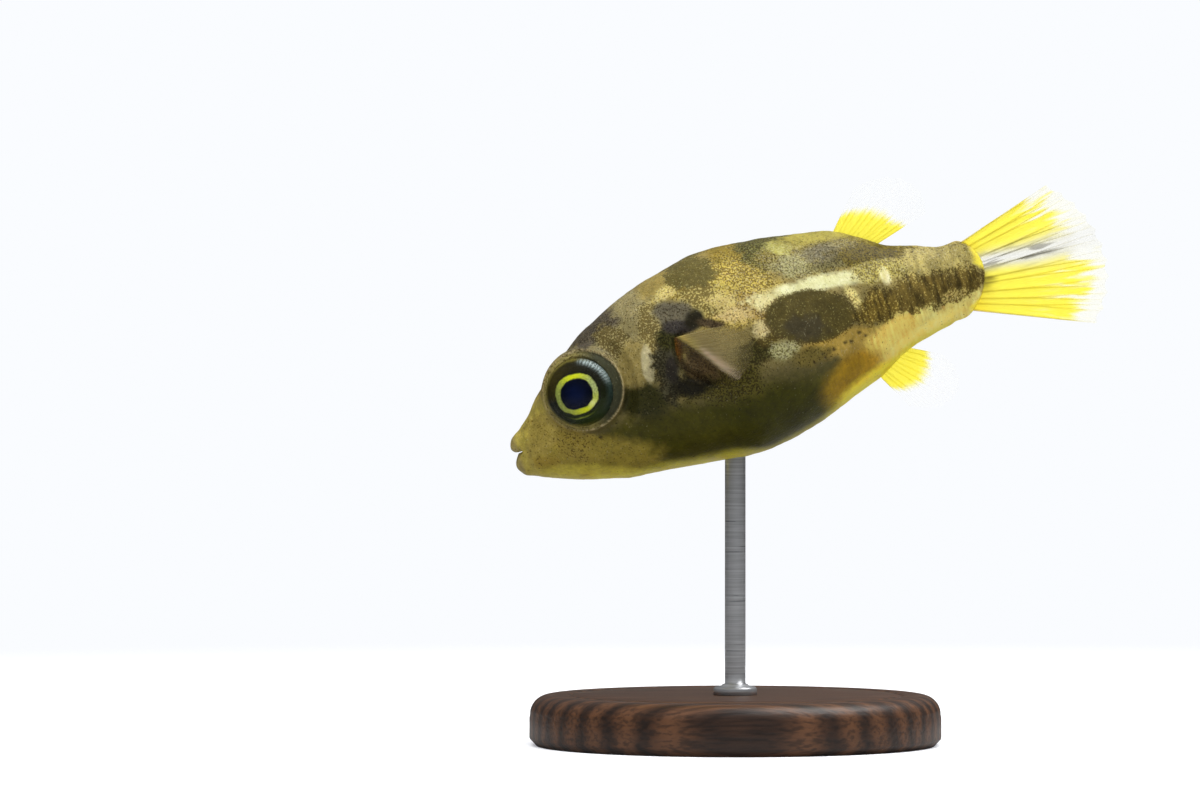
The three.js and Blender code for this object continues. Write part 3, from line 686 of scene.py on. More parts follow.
# Blotches in the order they are painted. Each has its middle and half size (x, z) on the flank, its
# tilt, how ragged and how soft its edge is, its colour, and how thick dark dots, cross streaks and
# pale flecks stand on it.
BLOTCHES = [
    # name, middle, half size, tilt, ragged, soft, colour, dots, streaks, flecks
    ("rear_belly", (15.6, -2.55), (2.0, 0.8), 16, 0.2, 0.7, "#ffdf3c", 0.0, 0.1, 0.0),
    ("anal_patch", (16.2, -1.7), (1.5, 0.7), 10, 0.2, 0.7, "#c0932a", 0.0, 0.2, 0.0),
    ("stalk_below", (19.4, -1.1), (2.8, 1.2), 5, 0.1, 0.5, "#ded17c", 0.0, 0.5, 0.1),
    ("stalk_above", (20.0, 1.6), (2.6, 1.2), -12, 0.2, 0.6, "#a39556", 0.2, 0.4, 0.3),
    ("flank_pale", (15.3, -0.75), (2.0, 0.6), -6, 0.3, 0.7, "#aa8f42", 0.05, 0.2, 0.2),
    ("stalk_gold", (17.5, -1.0), (1.35, 0.65), 15, 0.2, 0.8, "#ecd26c", 0.0, 0.4, 0.0),
    # Painted light: a bright yellow glow on the tail stalk's lower edge, standing in for light shining
    # through it.
    ("stalk_edge_glow", (18.6, -1.58), (2.0, 0.45), 14, 0.15, 0.8, "#ffea82", 0.0, 0.3, 0.0),
    # Partly the belly's own dark olive and partly painted shade of the underside.
    ("belly_dark_and_shade", (10.4, -2.5), (4.1, 1.4), -4, 0.12, 0.9, "#373602", 0.0, 0.0, 0.0),
    ("rear_amber", (15.0, -2.25), (1.35, 0.72), 22, 0.1, 1.1, "#a07e18", 0.0, 0.2, 0.0),
    # Painted light: a bright yellow glow on the rear belly's lower edge, standing in for light shining
    # through it.
    ("rear_edge_glow", (15.7, -2.75), (1.5, 0.42), 17, 0.15, 0.8, "#ffe73f", 0.0, 0.0, 0.0),
    # Partly the belly's own dark olive and partly painted shade of the underside.
    ("belly_front_and_shade", (6.6, -2.2), (2.8, 1.3), -14, 0.2, 0.8, "#423f0a", 0.0, 0.0, 0.0),
    ("under_pectoral", (9.6, -0.6), (1.9, 0.95), -15, 0.3, 0.7, "#534d1c", 0.5, 0.0, 0.1),
    ("snout", (0.9, -0.6), (1.9, 2.2), 0, 0.1, 0.5, "#ac9c47", 0.04, 0.0, 0.15),
    ("muzzle", (2.0, -1.0), (1.3, 1.6), 0, 0.2, 0.6, "#a39048", 0.1, 0.0, 0.1),
    ("cheek_shade", (6.2, -0.3), (1.2, 0.8), -19, 0.25, 0.7, "#2e2d11", 0.2, 0.0, 0.0),
    ("cheek_gold", (3.5, -1.95), (2.6, 0.85), -19, 0.15, 0.6, "#8f7f32", 0.12, 0.0, 0.1),
    ("cheek_mottle", (2.65, -1.1), (0.65, 0.95), 9, 0.7, 0.8, "#938136", 0.3, 0.0, 0.1),
    ("muzzle_brown", (1.45, -0.2), (0.6, 0.5), 20, 0.7, 0.9, "#94833d", 0.2, 0.0, 0.1),
    ("chin_brown", (1.3, -1.6), (0.5, 0.35), -20, 0.7, 0.9, "#937e2f", 0.2, 0.0, 0.1),
    # Painted light: a brighter gold along the throat's lower edge, standing in for light coming through
    # it.
    ("throat_edge_glow", (2.7, -2.5), (2.1, 0.42), -19, 0.15, 0.8, "#c3b446", 0.0, 0.0, 0.0),
    ("head_gold", (5.0, 2.6), (2.4, 1.6), 25, 0.15, 0.6, "#81774e", 0.25, 0.0, 0.1),
    ("head_patch", (5.45, 3.8), (2.0, 0.9), 25, 0.3, 0.45, "#5a5242", 0.45, 0.0, 0.1),
    ("head_dots", (5.75, 2.45), (0.65, 1.0), 35, 0.25, 0.3, "#978b59", 0.7, 0.0, 0.1),
    ("nape_gold", (7.4, 3.5), (0.75, 1.9), 56, 0.2, 0.45, "#8d8257", 0.25, 0.0, 0.3),
    ("behind_eye", (6.2, 1.35), (0.65, 1.0), -14, 0.2, 0.5, "#8a7b46", 0.15, 0.0, 0.2),
    ("edge_gold_front", (8.3, 4.3), (0.9, 0.6), 11, 0.2, 0.5, "#918045", 0.1, 0.0, 0.1),
    ("back_gold", (11.8, 4.35), (1.2, 0.9), -50, 0.2, 0.5, "#87742c", 0.22, 0.0, 0.2),
    ("back_net", (11.0, 3.0), (2.3, 1.5), -15, 0.2, 0.4, "#bea94f", 0.55, 0.0, 0.4),
    ("cream_front", (12.1, 1.9), (1.1, 0.6), -40, 0.4, 0.7, "#a08740", 0.5, 0.0, 0.5),
    ("net_glint", (10.4, 3.36), (0.9, 0.48), -15, 0.4, 0.9, "#bdaa50", 0.35, 0.0, 0.4),
    ("cream_mid", (10.8, 2.1), (0.95, 0.38), -25, 0.4, 0.9, "#c3ac6e", 0.3, 0.0, 0.4),
    ("gill_dots", (7.42, 2.65), (0.52, 0.92), -10, 0.3, 0.4, "#ad9f64", 0.7, 0.0, 0.1),
    ("nape_cream", (8.5, 3.85), (0.7, 0.26), 11, 0.4, 0.9, "#bdac63", 0.3, 0.0, 0.5),
    ("drop", (6.8, 1.15), (0.27, 0.8), -10, 0.15, 0.4, "#b4aa80", 0.0, 0.0, 0.3),
    # Partly the gill opening's dark skin and partly painted shadow in the opening.
    ("gill_dark_and_shadow", (7.6, 0.75), (0.65, 1.4), -17, 0.4, 0.6, "#474430", 0.6, 0.0, 0.0),
    ("gill_olive", (8.05, 1.95), (0.55, 0.5), 0, 0.3, 0.6, "#3a3918", 0.5, 0.0, 0.0),
    ("gill_foot", (8.35, -0.35), (0.9, 0.55), -19, 0.35, 0.8, "#1c190c", 0.4, 0.0, 0.0),
    ("gill_blue", (7.7, 0.6), (0.3, 0.6), -15, 0.3, 0.8, "#27231d", 0.1, 0.0, 0.1),
    ("under_fin", (9.05, 0.45), (0.85, 0.65), -20, 0.35, 0.7, "#695839", 0.35, 0.0, 0.0),
    ("shoulder_grain", (9.9, 3.0), (0.95, 0.7), -35, 0.3, 0.5, "#b6a762", 0.65, 0.0, 0.1),
    ("net_low", (10.7, 2.72), (0.6, 0.4), -10, 0.4, 0.8, "#c4b26a", 0.3, 0.0, 0.4),
    ("shoulder", (8.53, 2.85), (0.85, 0.62), -19, 0.2, 0.4, "#5f5946", 0.3, 0.0, 0.05),
    ("shoulder_low", (8.6, 2.22), (0.8, 0.3), -19, 0.2, 0.6, "#393430", 0.3, 0.0, 0.05),
    ("shoulder_core", (9.32, 2.32), (0.5, 0.4), 30, 0.2, 0.6, "#1e1b0e", 0.0, 0.0, 0.0),
    ("shoulder_tail", (9.95, 1.92), (0.6, 0.22), -26, 0.3, 0.7, "#4a3d27", 0.4, 0.0, 0.0),
    ("back_blotch", (9.84, 4.36), (1.12, 0.7), -11, 0.35, 0.3, "#9c9459", 0.85, 0.0, 0.05),
    ("saddle_front", (13.45, 4.3), (1.5, 1.1), -30, 0.25, 0.3, "#6d6a38", 0.6, 0.0, 0.2),
    ("saddle", (15.6, 3.3), (3.0, 0.95), -9, 0.2, 0.25, "#817436", 0.4, 0.1, 0.4),
    ("saddle_low", (14.1, 3.15), (0.9, 0.5), -15, 0.5, 0.8, "#979260", 0.4, 0.0, 0.5),
    ("saddle_edge", (16.3, 2.62), (1.7, 0.24), -9, 0.4, 0.8, "#797247", 0.4, 0.1, 0.1),
    # Painted sheen: a greyish violet where the wet skin reflects light, in the saddle's middle.
    ("saddle_violet_sheen", (15.6, 3.25), (0.95, 0.42), -9, 0.5, 0.8, "#686145", 0.3, 0.0, 0.4),
    ("saddle_rear", (17.5, 2.52), (1.65, 0.55), -15, 0.4, 0.4, "#66591b", 0.4, 0.3, 0.1),
    ("back_glint", (13.9, 4.05), (0.6, 0.28), -20, 0.7, 0.9, "#a59f51", 0.1, 0.0, 0.5),
    ("edge_gold_rear", (15.4, 4.08), (1.5, 0.28), -11, 0.3, 0.7, "#9e9345", 0.15, 0.0, 0.1),
    ("cream_blob", (12.4, 2.0), (0.55, 0.36), -30, 0.4, 0.8, "#d6ca8e", 0.25, 0.0, 0.4),
    ("cream_line", (15.3, 1.98), (2.85, 0.33), -7, 0.3, 0.8, "#d9d7a3", 0.05, 0.1, 0.3),
    ("stalk_speckle", (17.6, 1.75), (1.2, 0.5), -8, 0.3, 0.6, "#b0a353", 0.5, 0.3, 0.5),
    ("cream_cell", (16.25, 0.7), (0.22, 0.9), 15, 0.3, 0.7, "#dacc81", 0.3, 0.1, 0.3),
    ("pectoral_shade", (11.35, 0.1), (0.95, 0.48), -10, 0.35, 0.8, "#4d4922", 0.6, 0.0, 0.0),
    ("cell_dots", (12.1, 0.45), (0.45, 0.3), -10, 0.5, 0.6, "#796d39", 0.75, 0.0, 0.0),
    ("green_cell", (12.6, -0.18), (0.6, 0.42), 0, 0.5, 0.7, "#a09d69", 0.45, 0.0, 0.6),
    ("below_blotch", (13.6, -0.85), (0.85, 0.38), -5, 0.4, 0.8, "#685c2c", 0.3, 0.0, 0.0),
    ("cream_low", (11.95, 1.0), (0.36, 0.36), 0, 0.4, 0.8, "#c4b57d", 0.3, 0.0, 0.4),
    ("flank_blotch", (14.1, 0.83), (1.92, 1.13), -16, 0.07, 0.1, "#827945", 0.84, 0.1, 0.0),
    # Painted sheen: a greyish violet where the wet skin reflects light, in the flank blotch's middle.
    ("blotch_violet_sheen", (13.7, 0.4), (1.0, 0.5), -16, 0.5, 0.8, "#6b664e", 0.88, 0.0, 0.0),
    ("stalk_band", (19.25, 0.2), (2.95, 0.73), -5, 0.35, 0.6, "#978648", 0.8, 0.9, 0.05),
    ("stalk_band_front", (16.9, 0.15), (0.9, 0.65), 10, 0.4, 0.6, "#a49047", 0.72, 0.9, 0.05),
    ("band_low", (20.3, -0.36), (0.6, 0.3), 0, 0.6, 0.8, "#b6a45e", 0.5, 0.5, 0.2),
    ("stalk_glint", (17.8, 1.4), (0.2, 0.35), 0, 0.2, 0.9, "#ded7a3", 0.0, 0.5, 0.2),
]
# Lone dark dots along the lateral line.
LINE_DOTS = [(13.62, -1.13), (14.14, -1.08), (14.63, -0.88), (15.18, -0.74), (15.44, -0.79),
             (15.9, -0.53), (16.15, -0.75), (3.84, -1.18)]
LINE_DOT_RADIUS = 0.08
# Ground colours, how thick the flank's dots, streaks and flecks are, and the colours laid last.
BACK_COAT = "#8d7d46"
FLANK_COAT = "#7a6e42"
FLANK_MARKS = (0.15, 0.0, 0.1)
# The low flank and belly colours are partly the belly's own olive and partly painted shade of the
# underside.
LOW_FLANK_COAT_AND_SHADE = "#5a5230"
BELLY_COAT_AND_SHADE = "#5a5820"
KEEL_GLOW_COAT = "#e6d844"
DOT_COAT = "#241a10"
TAIL_COAT = "#f4e450"
TAIL_COAT_START = 20.9
BAND_END = ((20.6, -0.08), (1.7, 0.9))  # the dark band's rounded end, which the yellow goes round
LIP_COAT = "#a08f60"
THROAT_RADIUS = 0.62
SOCKET_COAT = "#8a8048"
SOCKET_SHADE = "#2c3024"
ORBIT_RIM_HIGHLIGHT = "#c2b084"
ORBIT_REACH = 1.73


def blotch_reach(place, middle, half, tilt):
    """How far each place lies from a tilted ellipse's middle, as a share of the way to its edge."""
    turn = math.radians(tilt)
    x, z = place[:, 0] - middle[0], place[:, 1] - middle[1]
    along = (x * math.cos(turn) + z * math.sin(turn)) / half[0]
    across = (z * math.cos(turn) - x * math.sin(turn)) / half[1]
    return np.hypot(along, across)


def paint_skin(points):
    """The skin's colour and its dots, streaks and flecks at each point."""
    x, _, z = points.T
    place = points[:, [0, 2]]
    back, belly, waist = (station(key, x) for key in ("back", "belly", "waist"))
    up = (z - waist) / (back - waist)
    down = (waist - z) / (waist - belly)
    colour = lay(FLANK_COAT, BACK_COAT, smooth(0.05, 0.5, up))
    # Darker towards the belly: partly its own olive, partly painted shade of the underside.
    colour = lay(colour, LOW_FLANK_COAT_AND_SHADE, smooth(0.0, 0.35, down))
    colour = lay(colour, BELLY_COAT_AND_SHADE, smooth(0.35, 0.8, down))
    marks = np.tile(FLANK_MARKS, (len(points), 1))
    marks[:, 0] *= 1 - smooth(0.1, 0.6, down)
    wobble = 0.8 * rough(points, 0.7, 3) + 0.6 * rough(points, 0.22, 2)
    for _, middle, half, tilt, ragged, soft, coat, *thickness in BLOTCHES:
        reach = blotch_reach(place, middle, half, tilt) + wobble * ragged
        colour = lay(colour, coat, 1 - smooth(1 - soft / 2, 1 + soft / 2, reach))
        # The grains thin out a little past the edge of the colour.
        marks = lay(marks, np.array(thickness), 1 - smooth(0.98 - soft / 2, 1.1 + soft / 2, reach))
    # Painted light: a yellow glow laid along the thin keel of the belly, standing in for light that comes
    # through it.
    deep = smooth(9.0, 11.0, x) * (1 - smooth(12.8, 14.8, x))
    keel = smooth(0.84 + 0.09 * deep, 1.0, down) * smooth(2.0, 3.5, x) * (1 - smooth(19.5, 21.0, x))
    colour = lay(colour, KEEL_GLOW_COAT, keel * (0.85 - 0.45 * deep))
    for middle in LINE_DOTS:
        reach = np.hypot(*(place - middle).T) + 0.02 * wobble
        colour = lay(colour, DOT_COAT, 0.85 * (1 - smooth(0.6, 1.3, reach / LINE_DOT_RADIUS)))
    # The yellow of the tail fin starts on the flesh above and below the dark band.
    start = TAIL_COAT_START + 0.85 * smooth(-0.6, 1.0, z) - 0.15 * wobble
    tail = smooth(-0.15, 0.2, x - start)
    tail *= smooth(0.94, 1.1, blotch_reach(place, *BAND_END, 0) + 0.1 * wobble)
    colour = lay(colour, TAIL_COAT, tail)
    marks *= 1 - tail[:, None]
    colour = lay(colour, LIP_COAT, 0.6 * (1 - smooth(0.16, 0.34, x)))
    # Painted shade: the throat deep inside the mouth is darkened.
    within = np.hypot(points[:, 1], (z - MOUTH_LEVEL) * 2.5) < THROAT_RADIUS
    throat = smooth(0.45, 0.7, x) * (x < 2) * within
    return colour * (1 - 0.9 * throat[:, None]), marks


def paint_sockets(points, colour, marks):
    """Golden skin round the eyes, with a painted highlight: the bright line along the lip of the orbit's
    rim.
    """
    for side in (-1, 1):
        reach, height = eye_reach(points, side)
        near = (height > -1.0) & (points[:, 1] * side > 0)
        ring = (1 - smooth(1.66, 1.74, reach)) * near
        colour = lay(colour, SOCKET_COAT, 0.8 * ring)
        # The eye shows darkly through the thin skin behind it.
        behind = np.degrees(np.arctan2(points[:, 2] - EYE_AT[2], points[:, 0] - EYE_AT[0]))
        shade = smooth(95, 50, np.abs(behind + 5)) * ring
        colour = lay(colour, SOCKET_SHADE, 0.92 * shade)
        marks[:, 0] += (0.3 - 0.25 * shade - marks[:, 0]) * ring
        # Painted highlight: a pale line along the raised lip of the orbit's rim, where it catches light.
        colour = lay(colour, ORBIT_RIM_HIGHLIGHT, 0.6 * near * bell(reach, ORBIT_REACH, 0.032))
    return colour, marks


def build_skin(material):
    """One skin from the throat to the tail, with sockets, gills and nostrils, and its pattern."""
    rows = skin_rows()
    count, around = rows.shape[:2]
    points = sink_eyes(rows.reshape(-1, 3))
    colour, marks = paint_sockets(points, *paint_skin(points))
    points = raise_nostrils(open_gills(soften(points, rows.shape)))
    # A point closes each end, in the colours of the ring beside it.
    throat, tail = points[:around].mean(0), points[-around:].mean(0) + (0.02, 0, 0)
    points = np.concatenate([points, [throat, tail]])
    colour, marks = (np.concatenate([v, v[:1], v[-1:]]) for v in (colour, marks))
    faces = grid_faces(count, around, True)
    last = (count - 1) * around
    for c in range(around):
        d = (c + 1) % around
        faces += [(count * around, d, c), (count * around + 1, last + c, last + d)]
    skin = mesh_object("puffer_skin", to_world(points), faces, material)
    store(skin, coat=colour, marks=marks)
    return skin


# ---- Eyes ----

IRIS_SHIFT = np.array([-0.06, -0.02])  # towards the snout and down, on the eyeball
PUPIL = 0.7
RING = 0.92
IRIS_GROUND = "#1d1d14"
IRIS_DEPTH = 0.07  # from the clear front in to the painted dome
SHELL_WALL = 0.03


def paint_iris(place):
    """Colours of the painted eyeball, by the place across its face: towards the tail and the back."""
    x, z = (place[:, :2] - IRIS_SHIFT).T
    turn = np.degrees(np.arctan2(z, x))
    edge = np.hypot(*place[:, :2].T)
    side = np.degrees(np.arctan2(place[:, 1], place[:, 0]))
    wobble = rough(place, 0.3) * 0.03 + rough(place, 0.08) * 0.012
    # The pupil is a little squared.
    reach = (np.abs(x / 1.02) ** 2.2 + np.abs(z / 0.95) ** 2.2) ** (1 / 2.2) + wobble
    width = 0.03 + 0.02 * np.sin(np.radians(turn) * 5)
    ring = smooth(PUPIL - 0.02, PUPIL + 0.02, reach) * (1 - smooth(RING - width, RING + 0.02, reach))
    pupil = 1 - smooth(PUPIL - 0.03, PUPIL + 0.01, reach)
    outer = smooth(0.85, 1.1, edge)
    # Silver leaf, scratched across its arc. Its pale paint is also a painted sheen on the eye's upper
    # rear.
    arc = bell(edge + wobble, 1.35, 0.11) * smooth(44, 24, np.abs(side - 37))
    silver = arc * (0.6 + 0.4 * np.sin(np.radians(side) * 60 + wobble * 80))
    layers = (
        # Brown and green glazes over the dark iris, a blue glaze towards its rear that is a painted sheen,
        # a warm edge and a thin green line.
        ("#3a3412", bell(side, 140, 50) * outer),
        ("#26330f", bell(side, -80, 60) * outer),
        ("#30403a", bell(side, 0, 45) * smooth(1.15, 1.4, edge)),
        ("#7f7631", smooth(1.32, 1.47, edge + wobble) * smooth(50, 110, np.abs(side + 10)) * 0.8),
        ("#9fb02e", bell(reach, 1.1, 0.025) * bell(turn, -95, 22) * 0.7),
        ("#a3b2b0", silver),
        # The ring, brightest above and below the pupil.
        ("#99a553", ring),
        ("#b4c08c", ring * bell(turn, 5, 35) * 0.8),
        ("#dfe822", ring * np.clip(bell(turn, 85, 42) + bell(turn, -70, 48), 0, 1)),
        ("#f6f9a8", ring * bell(turn, -48, 14) * 0.7),
        # The pupil, deep blue in its middle.
        ("#03060f", pupil),
        ("#0b1c4a", pupil * bell(np.hypot(x + 0.05, z), 0, 0.5) * 0.55))
    colour = IRIS_GROUND
    for paint, share in layers:
        colour = lay(colour, paint, share)
    return colour, np.stack([silver, 0 * silver, pupil], 1)


def build_eye(name, side, paint, glass):
    """A painted eyeball and the clear shell over it."""
    middle, out, rear = eye_frame(side)

    def place(flat):
        return to_world(middle - flat[:, :1] * side * rear + flat[:, 1:2] * (0, 0, 1) + flat[:, 2:] * out)

    back = quarter(EYE_RADIUS, -EYE_DEPTH, 0, 90, 10)[:-1]
    front = quarter(EYE_RADIUS, EYE_BULGE - IRIS_DEPTH, 90, 0, 60)
    ball, flat = turned_object(name, back + front, EYE_STEPS, place, paint)
    across = flat * (-side, 1, 0)
    colour, marks = paint_iris(across)
    store(ball, coat=colour, marks=marks, eye_place=across - [*IRIS_SHIFT, 0])
    dome = quarter(EYE_RADIUS + 0.005, EYE_BULGE + 0.01, 90, 0, 28)
    inner = [(r * 0.985, h - SHELL_WALL) for r, h in dome[::-1]]
    shell, _ = turned_object(name + "_cornea", inner + dome, SHELL_STEPS, place, glass)
    return ball, shell


# ---- Fins ----

FIN_YELLOW = "#fdf56c"
FIN_FLESH = "#a8924a"  # where the flesh runs out on the web's root
CLEAR_RIM = "#f6f6ee"
YELLOW_LIMIT = {"dorsal_fin": 0.56, "anal_fin": 0.6}  # share of a fin's length that is dyed
TAIL_RIM = "#f8f3c0"
TAIL_ROOT_YELLOW = "#f6e450"
TAIL_GREY = "#cfccbc"
TAIL_INK = "#5c5846"
TAIL_ROOT = "#7a6a34"
TAIL_RAY_INK = "#3c3828"
PECTORAL_GOLD = "#f6e288"
PECTORAL_OLIVE = "#b5a878"
PECTORAL_SMOKE = "#6a5b44"
PECTORAL_FOLD_HIGHLIGHT = "#dcc8aa"
PECTORAL_AMBER = "#b47c2e"
FORK_SPREAD = 0.22  # how far a ray's branches part, in spaces between rays
RAY_UNEVEN = 0.16  # how far rays stray from even spaces


def fin_points(fin, f, along_share, swing):
    """Places on a fin's middle sheet. f runs from the first ray to the last, along_share from the
    skin at the root (0) to the rim (1)."""
    front, rear = np.array(fin["root"])
    first, middle, last = fin["reach"]
    lean = np.radians(fin["lean"][0] + (fin["lean"][1] - fin["lean"][0]) * f ** fin["late"])
    fan = first * (1 - f) * (1 - 2 * f) + middle * 4 * f * (1 - f) + last * f * (2 * f - 1)
    scallop = 1 - 0.03 * np.abs(np.sin(math.pi * fin["folds"] * f))
    along = (fan * scallop + ROOT_SINK) * along_share - ROOT_SINK
    wave = fin["wave"] * along.clip(0) * np.sin(2 * math.pi * f + 0.6)
    x = front[0] + (rear[0] - front[0]) * f + np.cos(lean) * along
    z = front[1] + (rear[1] - front[1]) * f + np.sin(lean) * along
    return swing(x, wave, z), along


def straight(x, y, z):
    """Leaves a fin in the fish's middle plane."""
    return np.stack([x, y, z], -1)


def swing_out(side):
    """Swings a fin out from the flank of one side."""
    pivot = FINS["pectoral_fin"]["root"][0][0]
    flank = station("side", pivot) - PECTORAL_INSET

    def swing(x, y, z):
        along = x - pivot
        c, s = math.cos(PECTORAL_OUT), math.sin(PECTORAL_OUT)
        return np.stack([pivot + along * c + y * s, side * (flank + along * s - y * c), z], -1)

    return swing


def paint_fin(kind, f, g, lanes):
    """A fin's tint, how solid it is and how deeply it is dyed, by the place across it (f) and out
    along it (g). Lanes are places across and along the rays, for streaks that follow them."""
    streaks = rough(lanes.reshape(-1, 3) * (1, 0.3, 1), 0.4, 2).reshape(f.shape)
    if kind == "pectoral_fin":
        return paint_pectoral(f, g, streaks)
    if kind == "caudal_fin":
        return paint_tail(f, g, streaks)
    limit = YELLOW_LIMIT[kind] + 0.1 * smooth(0.75, 1.0, f)
    dyed = 1 - smooth(limit - 0.12, limit + 0.06, g + 0.05 * streaks)
    tint = lay(CLEAR_RIM, FIN_YELLOW, dyed)
    tint = lay(tint, FIN_FLESH, 0.7 * smooth(0.14, 0.02, g + 0.05 * streaks))
    return tint, 0.03 + 0.47 * dyed, dyed


def paint_tail(f, g, streaks):
    """The tail fin: yellow lobes with torn rims, and a clear grey wedge with inky streaks between."""
    wedge = bell(f, 0.36 + 0.07 * smooth(0.15, 0.6, g), 0.09) * smooth(0.04, 0.16, g)
    torn = 1 - smooth(0.72, 0.95, g + 0.22 * streaks)
    dyed = torn * (1 - wedge).clip(0) * (1 - 0.45 * smooth(0.4, 0.85, g) * smooth(0.0, 0.5, streaks))
    lines = wedge * smooth(0.0, 0.35, streaks) * smooth(0.9, 0.6, g)
    root = bell(f, 0.58, 0.13) * smooth(0.26, 0.18, g + 0.06 * streaks)
    tint = lay(TAIL_RIM, lay(FIN_YELLOW, TAIL_ROOT_YELLOW, smooth(0.3, 0.0, g)), dyed)
    for colour, share in ((TAIL_GREY, 0.8 * wedge), (TAIL_INK, 0.8 * lines), (TAIL_ROOT, 0.6 * root)):
        tint = lay(tint, colour, share)
    solid = 0.1 + 0.42 * dyed + 0.1 * wedge * smooth(1.1, 0.6, g) + 0.3 * lines + 0.2 * root
    return tint, solid, dyed


def paint_pectoral(f, g, streaks):
    """The pectoral fin's smoky web: golden at the root, with a painted highlight along a fold down to its
    lower corner and a darker, thinner part under the fold."""
    place = fin_points(FINS["pectoral_fin"], f, g, straight)[0][..., [0, 2]]
    start, end = np.array(PECTORAL_FOLD)
    way = (end - start) / np.linalg.norm(end - start)
    along = (place - start) @ way
    above = (place - start) @ np.array([-way[1], way[0]])
    # Painted highlight: the fold is a pale, more solid band laid on the flat web.
    fold = bell(above, 0, 0.12 + 0.08 * along.clip(0)) * smooth(-0.3, 0.4, along)
    under = smooth(0.05, 0.35, -above)
    root = smooth(0.2, 0.06, g + 0.08 * streaks)
    tint = PECTORAL_GOLD
    for colour, share in ((PECTORAL_OLIVE, smooth(0.1, 0.45, g)), (PECTORAL_SMOKE, under),
                          (PECTORAL_FOLD_HIGHLIGHT, fold), (PECTORAL_AMBER, root)):
        tint = lay(tint, colour, share)
    solid = 0.46 + 0.34 * smooth(0.6, 0.15, g) - 0.46 * under + 0.3 * fold + 0.2 * root + 0.08 * streaks
    return tint, (solid * (1 - 0.85 * smooth(0.55, 1.0, g))).clip(0.03), 0.3 + 0 * f


def build_web(name, kind, swing, material):
    """A fin's thin web as one closed sheet, pleated between its rays and scalloped at its rim."""
    fin = FINS[kind]
    columns, rows = WEB_COLUMNS * fin["rays"] + 1, WEB_ROWS
    f, g = np.meshgrid(np.linspace(0, 1, columns), np.linspace(0, 1, rows))
    middle, along = fin_points(fin, f, g, swing)
    ahead = np.gradient(middle, axis=1)
    outward = np.gradient(middle, axis=0)
    normal = np.cross(ahead, outward)
    normal /= np.linalg.norm(normal, axis=2, keepdims=True).clip(1e-9)
    pleat = fin["pleat"] * np.cos(2 * math.pi * fin["rays"] * f) * smooth(0, 0.4, g)
    half = (WEB_ROOT + (WEB_RIM - WEB_ROOT) * smooth(0, 0.7, g)) / 2
    points = np.stack([middle + normal * (pleat + side * half)[..., None] for side in (1, -1)])
    size = rows * columns
    front = grid_faces(rows, columns, False)
    back = [tuple(i + size for i in face[::-1]) for face in front]
    rim = [r * columns for r in range(rows)]
    rim += [(rows - 1) * columns + c for c in range(1, columns)]
    rim += [r * columns + columns - 1 for r in range(rows - 2, -1, -1)]
    rim += list(range(columns - 2, 0, -1))
    edge = [(a, b, b + size, a + size) for a, b in zip(rim, rim[1:] + rim[:1])]
    web = mesh_object(name, to_world(points.reshape(-1, 3)), front + back + edge, material)
    lanes = np.stack([f * fin["rays"], along, 0 * f], -1)
    tint, solid, dyed = paint_fin(kind, f, g, lanes)
    marks = np.stack([solid, dyed, g], -1)
    store(web, coat=[tint, tint], marks=[marks, marks], fin_place=[lanes, lanes])
    return web


def ray_tree():
    """Geometry nodes that turn ray lines into tapered rods."""
    tree = bpy.data.node_groups.new("Fin rays", "GeometryNodeTree")
    for label, kind, way in (("Ray Lines", "Geometry", "INPUT"), ("Sides", "Int", "INPUT"),
                             ("Swell", "Float", "INPUT"), ("Material", "Material", "INPUT"),
                             ("Rays", "Geometry", "OUTPUT")):
        tree.interface.new_socket(label, in_out=way, socket_type="NodeSocket" + kind)
    given = add(tree, "NodeGroupInput").outputs
    lines = add(tree, "GeometryNodeMeshToCurve", {"Mesh": given["Ray Lines"]})
    thick = add(tree, "GeometryNodeInputNamedAttribute", {"Name": "thickness"}, data_type="FLOAT")
    width = add(tree, "ShaderNodeMath", {0: thick.outputs["Attribute"], 1: given["Swell"]},
                operation="MULTIPLY")
    section = add(tree, "GeometryNodeCurvePrimitiveCircle", {"Resolution": given["Sides"], "Radius": 1.0})
    rods = add(tree, "GeometryNodeCurveToMesh", {"Curve": lines, "Profile Curve": section, "Scale": width,
                                                 "Fill Caps": True})
    smooth_rods = add(tree, "GeometryNodeSetShadeSmooth", {"Geometry": rods})
    real = add(tree, "GeometryNodeRealizeInstances", {"Geometry": smooth_rods})
    dressed = add(tree, "GeometryNodeSetMaterial", {"Geometry": real, "Material": given["Material"]})
    add(tree, "NodeGroupOutput", {"Rays": dressed})
    return tree


def made_by_nodes(holder, tree, values):
    """Runs a geometry tree on an object with its named inputs set, and keeps the result as its mesh."""
    modifier = holder.modifiers.new("maker", "NODES")
    modifier.node_group = tree
    for item in tree.interface.items_tree:
        if item.name in values and item.in_out == "INPUT":
            modifier[item.identifier] = values[item.name]
    bpy.context.view_layer.update()
    depsgraph = bpy.context.evaluated_depsgraph_get()
    made = bpy.data.meshes.new_from_object(holder.evaluated_get(depsgraph), depsgraph=depsgraph)
    holder.modifiers.clear()
    old = holder.data
    holder.data = made
    made.name = holder.name
    bpy.data.meshes.remove(old)
    return holder


